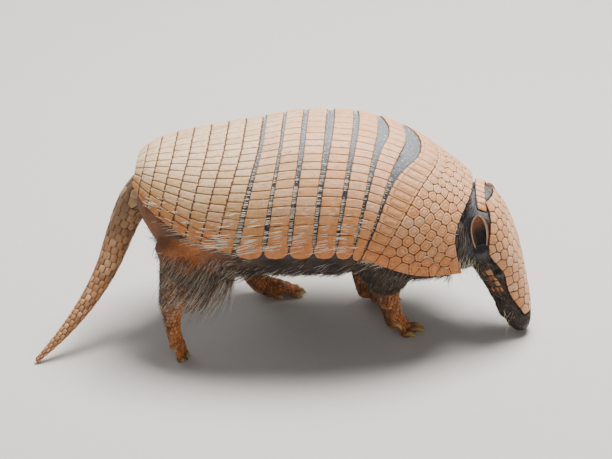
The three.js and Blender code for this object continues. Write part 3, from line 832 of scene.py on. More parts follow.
headShieldLook = {"from": 3, "to": 115, "scute": 9.6, "row": 0.9, "stray": (0.012, 0.03),
                  "dome": [(1.6, 0.12, 1.0)]}
headCut = {"floor": -0.75, "groove": 0.4, "wall": (0.15, 0.5), "shoulder": (0.6, 0.28), "plate": 1.3}


def headShieldCells(look):
    rows = round((look["to"] - look["from"]) / (look["scute"] * look["row"]))
    ahead, beside = look["stray"]
    seeds = []
    for row in range(rows):
        share = (row + 0.5) / rows
        at = mix(look["from"], look["to"], share)
        line = headPoint(np.full(40, at), np.linspace(-1, 1, 40) * shieldEdge(at), 0)
        count = max(2, round(np.linalg.norm(np.diff(line, axis=0), axis=1).sum() / look["scute"]))
        for k in range(count):
            across = -1 + 2 * (k + 0.35 + 0.3 * (row % 2)) / count
            seeds.append((share + random.uniform(-ahead, ahead), across + random.uniform(-beside, beside)))
    return settledCells(seeds, headLay, ((0, 1), (-1, 1)), 14, 4)


def shieldEdge(at):
    # how far round the shield reaches, eased where it passes the eye
    near = np.asarray(at, float)[..., None] + np.linspace(-9, 9, 9)
    return along(head, "edge", near).mean(-1)


def headLay(share, across, height):
    at = mix(headShieldLook["from"], headShieldLook["to"], share)
    return fromHead(headPoint(at, across * shieldEdge(at), height))


def napeLay(share, across, height):
    look = napeBand
    slope, turn = math.radians(look["slope"]), np.radians(across * look["halfAngle"])
    ahead = np.array([math.cos(slope), 0, -math.sin(slope)])
    tilted = [np.full_like(turn, math.sin(slope)), np.tan(turn), np.full_like(turn, math.cos(slope))]
    outward = unit(np.stack(tilted, -1))
    spot = np.stack([look["x"] + look["sweep"] * np.sin(turn) ** 2, look["y"] + look["reach"] * np.sin(turn),
                     look["z"] - look["drop"] * (1 - np.cos(turn))], -1)
    shift = (share * 2 - 1) * look["halfWidth"]
    return spot + ahead * shift[..., None] + outward * np.broadcast_to(height, turn.shape)[..., None]


napeBand = {"x": 173.4, "y": -1, "z": 137, "reach": 36, "drop": 33, "sweep": 3, "halfWidth": 4.5,
            "halfAngle": 50, "slope": 22, "scutes": 9}


# limbs and tail are chains of oval sections

def limbOf(*joints):
    table = {key: [joint[i] for joint in joints] for i, key in enumerate(("x", "y", "z", "wide", "deep"))}
    steps = np.linalg.norm(np.diff(np.array(joints, float)[:, :3], axis=0), axis=1)
    table["at"] = [0.0] + list(np.cumsum(steps))
    return table


def limbCentre(limb, at):
    return np.stack([along(limb, key, at) for key in ("x", "y", "z")], -1)


def limbFrame(limb, at):
    at = np.asarray(at, float)
    ahead, behind = np.minimum(at + 0.5, limb["at"][-1]), np.maximum(at - 0.5, 0)
    run = unit(limbCentre(limb, ahead) - limbCentre(limb, behind))
    across = np.zeros_like(run)
    across[..., 1] = 1
    across = unit(across - run * run[..., 1:2])
    return limbCentre(limb, at), run, across, np.cross(run, across)


def aroundLimb(limb, at, turn, height):
    centre, _, across, deepward = limbFrame(limb, at)
    turn = np.radians(turn)
    wide, deep = along(limb, "wide", at), along(limb, "deep", at)
    out = unit(across * (np.cos(turn) / wide)[..., None] + deepward * (np.sin(turn) / deep)[..., None])
    return (centre + across * (wide * np.cos(turn))[..., None] + deepward * (deep * np.sin(turn))[..., None]
            + out * np.broadcast_to(height, turn.shape)[..., None])


tail = limbOf(
    (-112, 1, 140, 17, 16), (-127, 0, 126, 16, 15), (-137, -3, 108, 14, 13.5), (-146, -10, 87, 12.2, 12),
    (-153.5, -20, 69.5, 10.6, 10.4), (-165, -34, 51, 8.8, 8.6), (-179, -49, 34.5, 7, 6.8),
    (-196, -63, 18, 5, 4.8), (-216, -77, 1.9, 2.6, 2.4),
)
legs = {
    "right_hind": {"limb": limbOf(
        (-64, -46, 112, 32, 32), (-72, -59, 87, 24, 36), (-83, -64, 69, 17, 26), (-94, -65, 53, 10, 12.5),
        (-95, -65, 40, 8, 8.5), (-94, -66, 27, 9, 7), (-92, -66, 17, 9.5, 6.5)),
        "heading": -12, "toeHeight": 17, "reach": 0.42, "kind": "hind", "side": -1},
    "left_hind": {"limb": limbOf(
        (-52, 44, 112, 32, 40), (-42, 54, 84, 24, 34), (-36, 53, 60, 16, 20), (-34, 50, 38, 11, 12.5),
        (-33, 48, 20, 10, 10), (-22, 47, 9.2, 10, 9.8), (-8, 47, 7.2, 10.5, 8)),
        "heading": 8, "toeHeight": 7.5, "reach": 1, "kind": "hind", "side": 1},
    "right_fore": {"limb": limbOf(
        (94, -44, 92, 24, 28), (92, -42, 72, 18, 23), (90, -35, 55, 12.5, 15), (92, -29, 40, 10, 11),
        (95, -25, 26, 11, 9.5), (98, -22, 11.5, 12, 8.8)),
        "heading": 2, "toeHeight": 12, "reach": 0.86, "kind": "fore", "side": -1},
    "left_fore": {"limb": limbOf(
        (86, 44, 92, 24, 30), (80, 44, 72, 18, 24), (72, 40, 54, 13, 16), (67, 37, 38, 10.5, 11.5),
        (68, 35, 22, 11.5, 9.5), (72, 34, 9, 12, 9.2)),
        "heading": 4, "toeHeight": 10, "reach": 1, "kind": "fore", "side": 1},
}
toeSets = {  # across the foot, splay, flesh, claw, radius, how far back it starts
    "fore": [(-10.5, -14, 8, 9, 3.5, 7), (-6, -6, 14, 16, 4.3, 0), (0, 0, 16, 15, 4.6, 0),
             (6.5, 8, 10, 12, 4.5, 0), (10.5, 30, 5, 9, 3.7, 20)],
    "hind": [(-8.5, -13, 7, 6, 3.4, 10), (-5.5, -8, 13, 8, 3.9, 0), (0, 0, 15, 9, 4.3, 0),
             (5.5, 8, 12, 8, 3.9, 0), (8.5, 14, 6, 7, 3.5, 16)],
}


def toeLine(leg, toe):
    across, splay, flesh, claw, radius, back = toe
    across, splay = -leg["side"] * across, -leg["side"] * splay
    limb, end = leg["limb"], leg["limb"]["at"][-1]
    heading = math.radians(leg["heading"] - splay)
    ahead = np.array([math.cos(heading), math.sin(heading), 0])
    left = np.array([-math.sin(math.radians(leg["heading"])), math.cos(math.radians(leg["heading"])), 0])
    lift = limbCentre(limb, end - back)[2] - limb["z"][-1]
    root = limbCentre(limb, end - 1 - back) - left * across
    reach = (flesh + claw) * leg["reach"]
    share = flesh / (flesh + claw)
    joints = []
    for part, height, thick in [
        (-0.12, leg["toeHeight"], radius * 0.9),
        (share * 0.55, mix(leg["toeHeight"], radius, 0.45) + 1.6, radius),
        (share, radius * 0.6, radius * 0.84),
        (mix(share, 1, 0.5), radius * 0.8, radius * 0.56),
        (1, 0.1, 0.65),
    ]:
        spot = root + ahead * reach * part
        joints.append((spot[0], spot[1], height + lift * (1 - 0.25 * max(part, 0)), thick, thick))
    return limbOf(*joints)


def makeScaleHorn(name, look):
    # small scutes: the base colours change over along one attribute, then each scute has its own tone
    finish = Finish(name, roughness=0.55)
    key, drift, low, high = look["change"]
    change, tone, rise = finish.attribute(key), finish.attribute("tone"), finish.attribute("rise")
    fine = finish.noise(look["grain"][0], detail=5, roughness=0.65)
    broad = finish.noise(look["grain"][1], detail=3)
    body = finish.blend(finish.span(change + (broad - 0.5) * drift, low, high), *map(tint, look["base"]))
    body = finish.cover(body, look["worn"], tone + (fine - 0.5) * 0.8, 0.5, 1.0, 0.55)
    body = finish.cover(body, look["dull"], tone + (broad - 0.5) * 0.6, *look["dullFrom"])
    body = finish.blend(finish.span(rise + (fine - 0.5) * 0.3, 0.25, 0.95), tint(look["groove"]), body)
    rough = finish.span(fine, 0.35, 0.75, 0.42, look["rough"])
    return finish.done(body, rough, finish.bump(fine, 0.4, 0.0005))


tailHorn = makeScaleHorn("tailHorn", {
    "change": ("tip", 0.3, 0.1, 0.62), "grain": (240, 30), "base": ("8a6b4c", "b98459"), "worn": "d3ab82",
    "dull": "684a33", "dullFrom": (0.45, 0.1, 0.5), "groove": "3a271a", "rough": 0.7})
tailLook = {"from": 10.0, "row": (8.6, 3.6), "scuteWidth": 1.12, "point": 0.22}  # rows shorten to the tip
tailCut = {"floor": -0.05, "groove": 0.22, "wall": (0.1, 0.75), "shoulder": (0.6, 0.5)}


def buildTail(skinMap):
    limb, length = tail, tail["at"][-1]
    start = at = tailLook["from"]
    marks = [start]
    while at < length - 3:
        at += mix(*tailLook["row"], at / length)
        marks.append(min(at, length - 1))
    counts = []
    for near, far in zip(marks, marks[1:]):
        girth = 2 * math.pi * float(along(limb, "wide", (near + far) / 2))
        counts.append(max(6, round(girth / ((far - near) * tailLook["scuteWidth"]))))
    shares = [(m - start) / (length - start) for m in marks]
    cells = stripCells(shares, counts, point=tailLook["point"])

    def lay(share, across, height):
        return skinMap.dropped(aroundLimb(limb, mix(start, length, share), 270 + across * 180, 0), height)

    tiles = scuteTiles("tailScutes", cells, lay, tailCut)
    dressed(tiles, tailHorn)
    paintAttribute(tiles, "tip", ease(0, 1, (150 - toDrawing(spotsOf(tiles))[:, 2]) / 150))
    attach(tiles, "root")


# the skin is one mesh over head, neck, trunk, tail and legs

fleshNodes = ["head", "lower_jaw", "neck", "trunk", "tail_base", "tail_middle", "tail_tip"]
for legSide in ("left", "right"):
    fleshNodes += [f"{legSide}_{part}" for part in
                   ("thigh", "shank", "hind_foot", "upper_arm", "forearm", "fore_foot")]
skinLook = {
    "overlap": 0.35,  # millimetres that each part grows, to close the cuts between them
    "coat": 0.45,  # how far the skin then lies inside the flesh
    "voxel": 1.35,
    "relax": 6,
    "hiddenFrom": (-118, 140),  # between these places the shell hides the skin
    "hiddenReach": (0.6, 0.985),
    "keptUnderShell": 0.06,  # share of the hidden faces that are left
    "fineAroundEye": 13.0,
    "kept": 0.33,  # share of all faces left after the fine shaping
    # lumps under the skin, each a centre and three half sizes: eye, brow, cheek, lip and nostril on both
    # sides of the head, then nose and chin, then groin, throat and armpits
    "faceLumps": [((67, 25.8, -7), (5.3, 5.3, 5.3)), ((62, 25.5, -2.5), (9, 3.8, 3)),
                  ((56, 26, -18), (17, 4.5, 6.5)), ((92, 15, -13.5), (16, 3, 4)),
                  ((128, 4.2, -3), (4.4, 4.4, 4.6))],
    "chinLumps": [((127, 0, -3.8), (5, 8.4, 6.8)), ((117, 0, -12.4), (12, 10.4, 4)),
                  ((97, 0, -17.6), (22, 13.6, 4)), ((74, 0, -20), (20, 20, 4))],
    "fillers": [((-84, -60, 106), (24, 17, 14)), ((-64, -62, 98), (28, 17, 14)),
                ((-52, 57, 92), (30, 17, 14)), ((158, -4, 72), (15, 24, 12)),
                ((92, -50, 76), (24, 16, 12)), ((82, 52, 78), (24, 16, 12))],
    "softParts": [((-75, -68, 98), (48, 30, 26)), ((-52, 62, 86), (46, 30, 26)),
                  ((158, -4, 66), (24, 46, 16)), ((92, -50, 74), (34, 24, 16)),
                  ((82, 50, 76), (34, 24, 16)), ((-124, 0, 132), (22, 26, 26))],
}
eyeLook = {"at": 67, "side": 25.8, "height": -7, "radius": 4.7, "facing": (0.16, 1, 0.2),
           "wide": 54, "above": 24, "below": 31, "lid": 0.6, "socket": 1.0}


def blobAt(centre, sizes, inHead=False):
    # a round lump that fills the flesh out, later melted into the skin
    blob = roundBall("blob", 24, 14)
    spots = spotsOf(blob) * sizes + centre
    moveSpots(blob, toScene(fromHead(spots) if inHead else spots))
    return blob


def fleshCopy(node):
    mesh = frame["nodes"][node].data.copy()
    mesh.materials.clear()
    piece = bpy.data.objects.new("flesh_" + node, mesh)
    bpy.context.scene.collection.objects.link(piece)
    inEditMode(piece, bpy.ops.mesh.remove_doubles, wholeMesh=True, threshold=1e-5)
    moveSpots(piece, spotsOf(piece) + normalsOf(piece) * skinLook["overlap"] / 1000)
    return piece


def selectFaces(piece, chosen):
    flags = np.asarray(chosen, bool)
    piece.data.polygons.foreach_set("select", flags)
    piece.data.update()


def facePlaces(piece):
    centres = np.empty(len(piece.data.polygons) * 3)
    piece.data.polygons.foreach_get("center", centres)
    return toDrawing(centres.reshape(-1, 3))


def underShell(points):
    at, angle, reach = shellSpot(points)
    inner, outer = skinLook["hiddenReach"]
    rear, front = skinLook["hiddenFrom"]
    deep = (reach < outer) & (reach > inner)
    return (at > rear) & (at < front) & (np.abs(angle) < along(carapace, "edge", onBack(at)) - 7) & deep


def eyeFrame(side):
    centre = np.array([eyeLook["at"], side * eyeLook["side"], eyeLook["height"]])
    out = unit(np.array(eyeLook["facing"]) * (1, side, 1))
    ahead = unit(np.array([1.0, 0, 0]) - out * out[0])
    up = np.cross(out, ahead) * side
    return centre, ahead, unit(up if up[2] > 0 else -up), out


def fromEyes(points):
    # how far each point in the head's frame is from the nearer eye
    return np.minimum(*[np.linalg.norm(points - eyeFrame(side)[0], axis=1) for side in (-1, 1)])


def lidShape(points, side):
    centre, ahead, up, out = eyeFrame(side)
    offset = points - centre
    reach = np.linalg.norm(offset, axis=1)
    toward = offset / np.maximum(reach, 1e-6)[:, None]
    polar = np.degrees(np.arccos(np.clip(toward @ out, -1, 1)))
    turn = np.arctan2(toward @ up, toward @ ahead)
    high = np.where(np.sin(turn) > 0, eyeLook["above"], eyeLook["below"])
    rim = 1 / np.hypot(np.cos(turn) / eyeLook["wide"], np.sin(turn) / high)
    lid = eyeLook["radius"] + eyeLook["lid"] * (1 + 0.35 * np.clip(np.sin(turn), 0, 1))
    inside = eyeLook["radius"] - eyeLook["socket"]
    target = mix(inside, lid, ease(rim - 5, rim + 4, polar))
    crease = closeTo(polar - rim, 27, 6) * 0.55 * (0.4 + 0.6 * np.clip(np.sin(turn), 0, 1))
    near = (1 - ease(rim + 16, rim + 40, polar)) * (reach < 14) * (polar < 100)
    moved = mix(reach, target, near) - crease * (reach < 14) * (polar < 95)
    return centre + toward * moved[:, None]


faceLook = {
    "nostril": (3.6, -2.2), "nostrilSize": 1.7, "nostrilDepth": 3.2, "nostrilRim": 0.5,
    "mouthFrom": (58, -20), "mouthTo": (131, -7.5), "mouthLower": 0.6, "mouthDepth": 1.3,
    "folds": ((84, 0.5), (90, 0.4), (97, 0.45), (104, 0.35), (111, 0.3)),  # wrinkles of the muzzle
}


def shapeFace(skin):
    look = faceLook
    points = toHead(toDrawing(spotsOf(skin)))
    for side in (-1, 1):
        points = np.where((np.abs(points[:, 0] - eyeLook["at"]) < 16)[:, None] & (points[:, 1:2] * side > 8),
                          lidShape(points, side), points)
    for side in (-1, 1):
        # the cheek falls back behind the ear's cup
        t = np.clip((points[:, 0] - 2) / 34, 0, 1)
        gap = np.abs(points[:, 2] - mix(-8, -14, t))
        hollow = ease(12.5, 8, gap) * ease(-8, 0, points[:, 0]) * ease(44, 37, points[:, 0])
        floor = mix(31.5, 26.5, ease(0, 30, points[:, 0]))
        over = np.clip(points[:, 1] * side - floor, 0, 40) * (points[:, 1] * side > 0)
        points[:, 1] -= side * over * hollow
    tip = points[:, 0] > 118
    for side in (-1, 1):
        out, height = look["nostril"]
        nostril = np.hypot(points[:, 1] - side * out, points[:, 2] - height)
        pit = closeTo(nostril, 0, look["nostrilSize"]) * look["nostrilDepth"] * tip * (points[:, 0] > 124)
        rim = closeTo(nostril, 3.0, 1.0) * look["nostrilRim"] * tip
        points[:, 0] += rim - pit
    (corner, cornerHeight), (end, endHeight) = look["mouthFrom"], look["mouthTo"]
    mouth = mix(cornerHeight, endHeight, (points[:, 0] - corner) / (end - corner)) - look["mouthLower"]
    slit = closeTo(points[:, 2], mouth, 0.8) * ease(70, 80, points[:, 0]) * (points[:, 0] < 130)
    outward = points * (0, 1, 0)
    points -= unit(outward) * (slit * look["mouthDepth"] * (np.abs(points[:, 1]) > 3))[:, None]
    for at, depth in look["folds"]:
        fold = closeTo(points[:, 0] - at, 0.25 * (points[:, 2] + 8), 0.9) * depth
        points -= unit(outward) * (fold * (points[:, 2] < 0) * (points[:, 2] > mouth))[:, None]
    moveSpots(skin, toScene(fromHead(points)))


gapLook = {"under": 5.5, "depth": 1.7, "sag": 3.4, "ripple": 0.18, "thickness": 2}  # millimetres


def gapStrip(i):
    look = gapLook
    pickOnly()
    bpy.ops.mesh.primitive_grid_add(x_subdivisions=8, y_subdivisions=96, size=1)
    strip = named(f"gapSkin{i}")
    share, across = spotsOf(strip)[:, 0] * 2, spotsOf(strip)[:, 1] * 2
    angle = across * 90
    width = lipAt(i, 1, angle) - lipAt(i, -1, angle) + look["under"]
    at = lipAt(i, 0, angle) + share * width / 2
    edge = across * (along(carapace, "edge", at) + 2)
    ripple = look["ripple"] * np.sin(across * 170) * (1 - share ** 2)
    height = -look["depth"] - look["sag"] * np.abs(share) ** 2.4 + ripple
    moveSpots(strip, toScene(onShell(at, edge, height)))
    applyModifier(strip, "SOLIDIFY", thickness=look["thickness"] / 1000, offset=-1)
    return strip


earLook = {"root": (36, 32, -14), "tip": (6, 40, -8), "width": 7, "wall": 1.2, "halfTurn": 122}


def earCup(side):
    look = earLook
    cup = sheetOf("ear", 14, 20)
    t, turn = spotsOf(cup)[:, 0], np.radians(spotsOf(cup)[:, 1] * 2 * look["halfTurn"])
    radius = look["width"] * (0.66 + 0.5 * np.sin(math.pi * (0.12 + 0.62 * t))) * np.sqrt(1.0001 - t ** 4)
    radius = radius - 0.4 + 0.25 * np.cos(turn * 3) * t
    inward = -radius * np.cos(turn) * 0.85
    across = radius * np.sin(turn)
    spots = np.stack([mix(look["root"][0] + 2, look["tip"][0], t) + inward * 0.15,
                      side * (mix(look["root"][1] - 2, look["tip"][1], t) + inward * 0.62),
                      mix(look["root"][2], look["tip"][2], t) + across - inward * 0.1], -1)
    moveSpots(cup, toScene(fromHead(spots)))
    paintAttribute(cup, "earAlong", t)
    paintAttribute(cup, "earTurn", np.abs(np.degrees(turn)) / look["halfTurn"])
    applyModifier(cup, "SOLIDIFY", thickness=look["wall"] / 1000, offset=0)
    facesOut(cup)
    applyModifier(cup, "SUBSURF", levels=1, render_levels=1)
    paintAttribute(cup, "ear", np.ones(len(cup.data.vertices)))
    return cup


def nearLimb(points, limb):
    # how far along the limb each point lies, and how far from its middle line
    places = np.linspace(0, limb["at"][-1], 40)
    centres = limbCentre(limb, places)
    close = ((points > centres.min(0) - 45) & (points < centres.max(0) + 45)).all(1)
    where, away = np.zeros(len(points)), np.full(len(points), 999.0)
    gap = np.linalg.norm(points[close][:, None] - centres[None], axis=2)
    where[close], away[close] = places[gap.argmin(1)], gap.min(1)
    return where, away


skinZones = {  # where each tone comes in, in millimetres along the body or along the head
    "head": (150, 168), "snout": (74, 92), "nape": (62, 34), "nose": (123, 129), "gaps": (-45, 90),
    "hindSock": (60, 26), "foreSock": (46, 26), "rump": (-80, -104), "eyePatch": 9.5, "eyeRim": 5.6,
}


def paintSkin(skin):
    zones = skinZones
    points = toDrawing(spotsOf(skin))
    inHead = toHead(points)
    at, angle, reach = shellSpot(points)
    paintAttribute(skin, "under", ease(100, 78, points[:, 2]) * (np.abs(points[:, 1]) < 80))
    headPart = ease(*zones["head"], points[:, 0])
    snout = headPart * ease(*zones["snout"], inHead[:, 0])
    eyeGap = fromEyes(inHead)
    patch = closeTo(eyeGap, 0, zones["eyePatch"])
    rear, front = zones["gaps"]
    gap = (reach > 0.93) & (at > rear) & (at < front) & (points[:, 2] > 100)
    nape = headPart * ease(*zones["nape"], inHead[:, 0])
    upper = np.zeros(len(points))
    for side in (-1, 1):
        centre, _, up, _ = eyeFrame(side)
        offset = inHead - centre
        lid = ease(0.25, 0.6, (offset @ up) / np.maximum(eyeGap, 1)) * ease(8.2, 6.6, eyeGap)
        upper = np.maximum(upper, lid * (inHead[:, 1] * side > 10))
    paintAttribute(skin, "slate", np.clip(gap * 1.0 + nape * 0.9 + upper * 0.9, 0, 1))
    paintAttribute(skin, "high", np.maximum(ease(52, 8, np.abs(angle)) * gap, nape * 0.5) + upper * 0.55)
    paintAttribute(skin, "dusk", np.clip(snout + patch * 1.1 * headPart, 0, 1))
    ruddy = np.zeros(len(points))
    for leg in legs.values():
        _, away = nearLimb(points, leg["limb"])
        low = ease(*zones[leg["kind"] + "Sock"], points[:, 2]) * (away < 30)
        ruddy = np.maximum(ruddy, low * (points[:, 2] < 64))
    _, away = nearLimb(points, tail)
    onTail = (away < 24) & (points[:, 0] < -122)
    fold = closeTo(points[:, 0], -76, 30) * (np.abs(points[:, 1]) > 40)
    fold *= ease(84, 97, points[:, 2]) * ease(124, 116, points[:, 2])
    rump = ease(*zones["rump"], points[:, 0]) * ease(92, 110, points[:, 2]) * 0.6
    ruddy = np.maximum.reduce([ruddy, onTail * 0.9, fold, rump * 0.9])
    paintAttribute(skin, "ruddy", np.clip(ruddy, 0, 1))
    rim = closeTo(eyeGap, zones["eyeRim"], 0.8)
    nose = ease(*zones["nose"], inHead[:, 0]) * headPart
    paintAttribute(skin, "wet", np.clip(rim + nose, 0, 1))


def makeSkinFinish():
    finish = Finish("hide", roughness=0.7)
    slate, dusk, ruddy = (finish.attribute(name) for name in ("slate", "dusk", "ruddy"))
    ear, wet = finish.attribute("ear"), finish.attribute("wet")
    broad, fine = finish.noise(45, detail=4), finish.noise(420, detail=5)
    cells = finish.node("TexVoronoi", {"feature": "DISTANCE_TO_EDGE"}, {"Vector": finish.place, "Scale": 430},
                        output="Distance")
    body = finish.blend(finish.span(broad, 0.35, 0.65), tint("2c211a"), tint("45352a"))
    high = finish.span(finish.attribute("high"), 0, 1)
    gapSkin = finish.blend(high, finish.blend(fine, tint("23242a"), tint("3d3f47")),
                           finish.blend(fine, tint("6d7077"), tint("9ea1a6")))
    body = finish.blend(slate * finish.span(fine, 0.3, 0.7, 0.8, 1), body, gapSkin)
    warm = finish.blend(finish.span(broad + (fine - 0.5) * 0.4, 0.35, 0.65), tint("b56c38"), tint("75472b"))
    body = finish.blend(ruddy, body, warm)
    body = finish.blend(dusk * (1 - slate), body, finish.blend(fine, tint("201815"), tint("43352e")))
    length, turn = finish.attribute("earAlong"), finish.attribute("earTurn")
    cup = finish.blend(finish.span(fine, 0.3, 0.7), tint("6e3d20"), tint("935932"))
    # painted shade: the inside of the cup towards its root is painted near black, standing in for the dark of
    # the ear's opening
    canalShade = (1 - finish.span(turn, 0.3, 0.75)) * (1 - finish.span(length, 0.4, 0.8))
    cup = finish.blend(canalShade, cup, tint("0e0806"))
    cup = finish.cover(cup, "b59a86", turn + (fine - 0.5) * 0.05, 0.86, 0.94)
    body = finish.blend(ear, body, cup)
    body = finish.blend(finish.span(cells, 0.0, 0.12, 0.35, 0), body, tint("1d1512"))
    body = finish.blend(wet, body, tint("17120f"))
    height = finish.span(cells, 0.0, 0.3) * 0.6 + fine * 0.5
    rough = finish.span(wet - fine * 0.2, 0.0, 0.8, 0.72, 0.3)
    return finish.done(body, rough, finish.bump(height, 0.5, 0.0006))


def buildSkin():
    parts = [fleshCopy(node) for node in fleshNodes]
    for side in (-1, 1):
        for (at, out, height), sizes in skinLook["faceLumps"]:
            parts.append(blobAt((at, side * out, height), sizes, inHead=True))
    parts += [blobAt(centre, sizes, inHead=True) for centre, sizes in skinLook["chinLumps"]]
    parts += [blobAt(centre, sizes) for centre, sizes in skinLook["fillers"]]
    skin = joined(parts, "skin")
    applyModifier(skin, "REMESH", mode="VOXEL", voxel_size=skinLook["voxel"] / 1000)
    applyModifier(skin, "SMOOTH", factor=0.5, iterations=skinLook["relax"])
    spots = toDrawing(spotsOf(skin))
    soft = np.zeros(len(spots))
    for centre, sizes in skinLook["softParts"]:
        soft = np.maximum(soft, ease(1.0, 0.7, np.linalg.norm((spots - centre) / sizes, axis=1)))
    softly = skin.vertex_groups.new(name="soft")
    for step in range(1, 5):
        softly.add(np.flatnonzero(soft > step / 5).tolist(), step / 4, "REPLACE")
    applyModifier(skin, "SMOOTH", factor=0.5, iterations=45, vertex_group="soft")
    selectFaces(skin, underShell(facePlaces(skin)))
    inEditMode(skin, bpy.ops.mesh.decimate, ratio=skinLook["keptUnderShell"])
    moveSpots(skin, spotsOf(skin) - normalsOf(skin) * (skinLook["overlap"] + skinLook["coat"]) / 1000)
    spots = spotsOf(skin)
    thin = (nearLimb(toDrawing(spots), tail)[1] < 20) & (spots[:, 0] < -0.124)
    spots -= normalsOf(skin) * 0.0003 * thin[:, None]
    spots[:, 2] -= np.clip(0.0005 * (1 - spots[:, 2] / 0.003), 0, 0.0006) * ~thin
    spots[:, 2] = np.maximum(spots[:, 2], 0)
    moveSpots(skin, spots)

    faces = toHead(facePlaces(skin))
    angle = np.abs(headAngle(faces))
    face = (faces[:, 0] > 50) & (angle > along(head, "edge", onSkull(faces[:, 0])) - 6)
    face |= faces[:, 0] > 113
    face &= facePlaces(skin)[:, 0] > 150
    selectFaces(skin, face)
    inEditMode(skin, bpy.ops.mesh.subdivide, number_cuts=1, smoothness=0)
    selectFaces(skin, fromEyes(toHead(facePlaces(skin))) < skinLook["fineAroundEye"])
    inEditMode(skin, bpy.ops.mesh.subdivide, number_cuts=1, smoothness=0)
    shapeFace(skin)
    applyModifier(skin, "DECIMATE", ratio=skinLook["kept"])
    paintAttribute(skin, "ear", np.zeros(len(skin.data.vertices)))
    skin = joined([skin] + [gapStrip(i) for i in range(7)] + [earCup(side) for side in (-1, 1)], "skin")
    paintSkin(skin)
    smoothed(skin)
    skin.data.materials.append(makeSkinFinish())
    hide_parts(*fleshNodes, "left_ear", "right_ear")
    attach(skin, "root")
    return skin


def buildEye(side, name, node):
    ball = roundBall(name, 40, 24)
    centre, ahead, up, out = eyeFrame(side)
    spots = spotsOf(ball)
    polar = np.degrees(np.arccos(np.clip(spots[:, 2], -1, 1)))
    radius = eyeLook["radius"] + 0.3 * (1 - ease(18, 40, polar))
    placed = (spots[:, :1] * ahead + spots[:, 1:2] * up + spots[:, 2:] * out) * radius[:, None] + centre
    moveSpots(ball, toScene(fromHead(placed)))
    paintAttribute(ball, "polar", polar)
    wetGloss = {"Specular IOR Level": 0.4, "Coat Weight": 0.35, "Coat Roughness": 0.03}
    finish = Finish(name + "Gloss", roughness=0.1, **wetGloss)
    gaze = finish.attribute("polar")
    fleck = finish.noise(900, detail=3)
    iris = finish.blend(fleck, tint("150b06"), tint("2a180c"))
    colour = finish.blend(finish.span(gaze, 13, 16), tint("040303"), iris)
    finish.feed("Base Color", finish.blend(finish.span(gaze, 34, 42), colour, tint("0f0a08")))
    dressed(ball, finish.material)
    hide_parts(node)
    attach(ball, "root")


def makeClawFinish():
    finish = Finish("clawHorn", roughness=0.4)
    share, fine = finish.attribute("tip"), finish.noise(160, detail=4)
    horn = finish.blend(finish.span(share + (fine - 0.5) * 0.3, 0.35, 0.85), tint("8b5a30"), tint("c9a868"))
    horn = finish.cover(horn, "5c3c22", fine, 0.55, 0.7, 0.5)
    return finish.done(horn, finish.span(fine, 0.3, 0.7, 0.3, 0.5), finish.bump(fine, 0.3, 0.0004))


clawHorn = makeClawFinish()
clawLook = {"overlap": 3.0, "fullness": 0.96}  # how far it starts back in the toe, and its share of the toe


def buildClaws(name, leg):
    claws = []
    for toe in toeSets[leg["kind"]]:
        claw = roundBall("claw", 12, 12)
        line = toeLine(leg, toe)
        spots = spotsOf(claw)
        share = (spots[:, 2] + 1) / 2
        at = mix(line["at"][2] - clawLook["overlap"], line["at"][-1], share)
        turn = np.degrees(np.arctan2(spots[:, 1], spots[:, 0]))
        fullness = np.sqrt(1 - np.clip(np.abs(spots[:, 2]), 0, 1) ** 6)[:, None]
        centre = limbCentre(line, at)
        spots = centre + (aroundLimb(line, at, turn, 0) - centre) * fullness * clawLook["fullness"]
        spots[:, 2] = np.maximum(spots[:, 2], 0.0)
        moveSpots(claw, toScene(spots))
        paintAttribute(claw, "tip", share)
        claws.append(claw)
    claws = joined(claws, name + "_claws")
    dressed(claws, clawHorn)
    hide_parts(*[f"{name}_claw_{i}" for i in range(1, 6)])
    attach(claws, "root")


class SkinMap:
    # the finished skin's triangles, to scatter roots over
    def __init__(self, skin):
        skin.data.calc_loop_triangles()
        corners = np.empty(len(skin.data.loop_triangles) * 3, int)
        skin.data.loop_triangles.foreach_get("vertices", corners)
        self.triangles = toDrawing(spotsOf(skin))[corners].reshape(-1, 3, 3)
        a, b, c = self.triangles[:, 0], self.triangles[:, 1], self.triangles[:, 2]
        cross = np.cross(b - a, c - a)
        self.area = np.linalg.norm(cross, axis=1) / 2
        self.outs = unit(cross)
        self.centres = self.triangles.mean(1)
        self.open = ~underShell(self.centres)
        self.tree = BVHTree.FromPolygons(toDrawing(spotsOf(skin)).tolist(), corners.reshape(-1, 3).tolist())

    def dropped(self, points, height):
        # the nearest places on the skin, lifted off it by height
        landed = []
        for point in points.reshape(-1, 3).tolist():
            place, out, _, _ = self.tree.find_nearest(point)
            landed.append(place + out * height)
        return np.array(landed).reshape(points.shape)

    def roots(self, count, density):
        share = self.area * np.clip(density, 0, None) * self.open
        chosen = dice.choice(len(share), count, p=share / share.sum())
        u, v = dice.random(count), dice.random(count)
        over = u + v > 1
        u, v = np.where(over, 1 - u, u), np.where(over, 1 - v, v)
        a, b, c = (self.triangles[chosen, k] for k in range(3))
        return a + (b - a) * u[:, None] + (c - a) * v[:, None], self.outs[chosen]


cheekLook = {"at": (60, 87), "angle": (93, 124), "rows": 4, "columns": 2}
cheekCut = {"floor": -0.1, "groove": 0.35, "wall": (0.15, 0.6), "shoulder": (0.8, 0.5), "bite": 1.4}
pebbleLook = {"size": 3.7, "from": 0.42, "reach": 155, "toeReach": 85}
pebbleCut = {"floor": -0.05, "groove": 0.2, "wall": (0.08, 0.45), "shoulder": (0.4, 0.3), "bite": 0.7}


legHorn = makeScaleHorn("legHorn", {
    "change": ("front", 0.4, 0.2, 0.9), "grain": (300, 50), "base": ("6a4228", "c67338"), "worn": "d39a63",
    "dull": "4b3021", "dullFrom": (0.4, 0.05, 0.55), "groove": "2c1b12", "rough": 0.68})


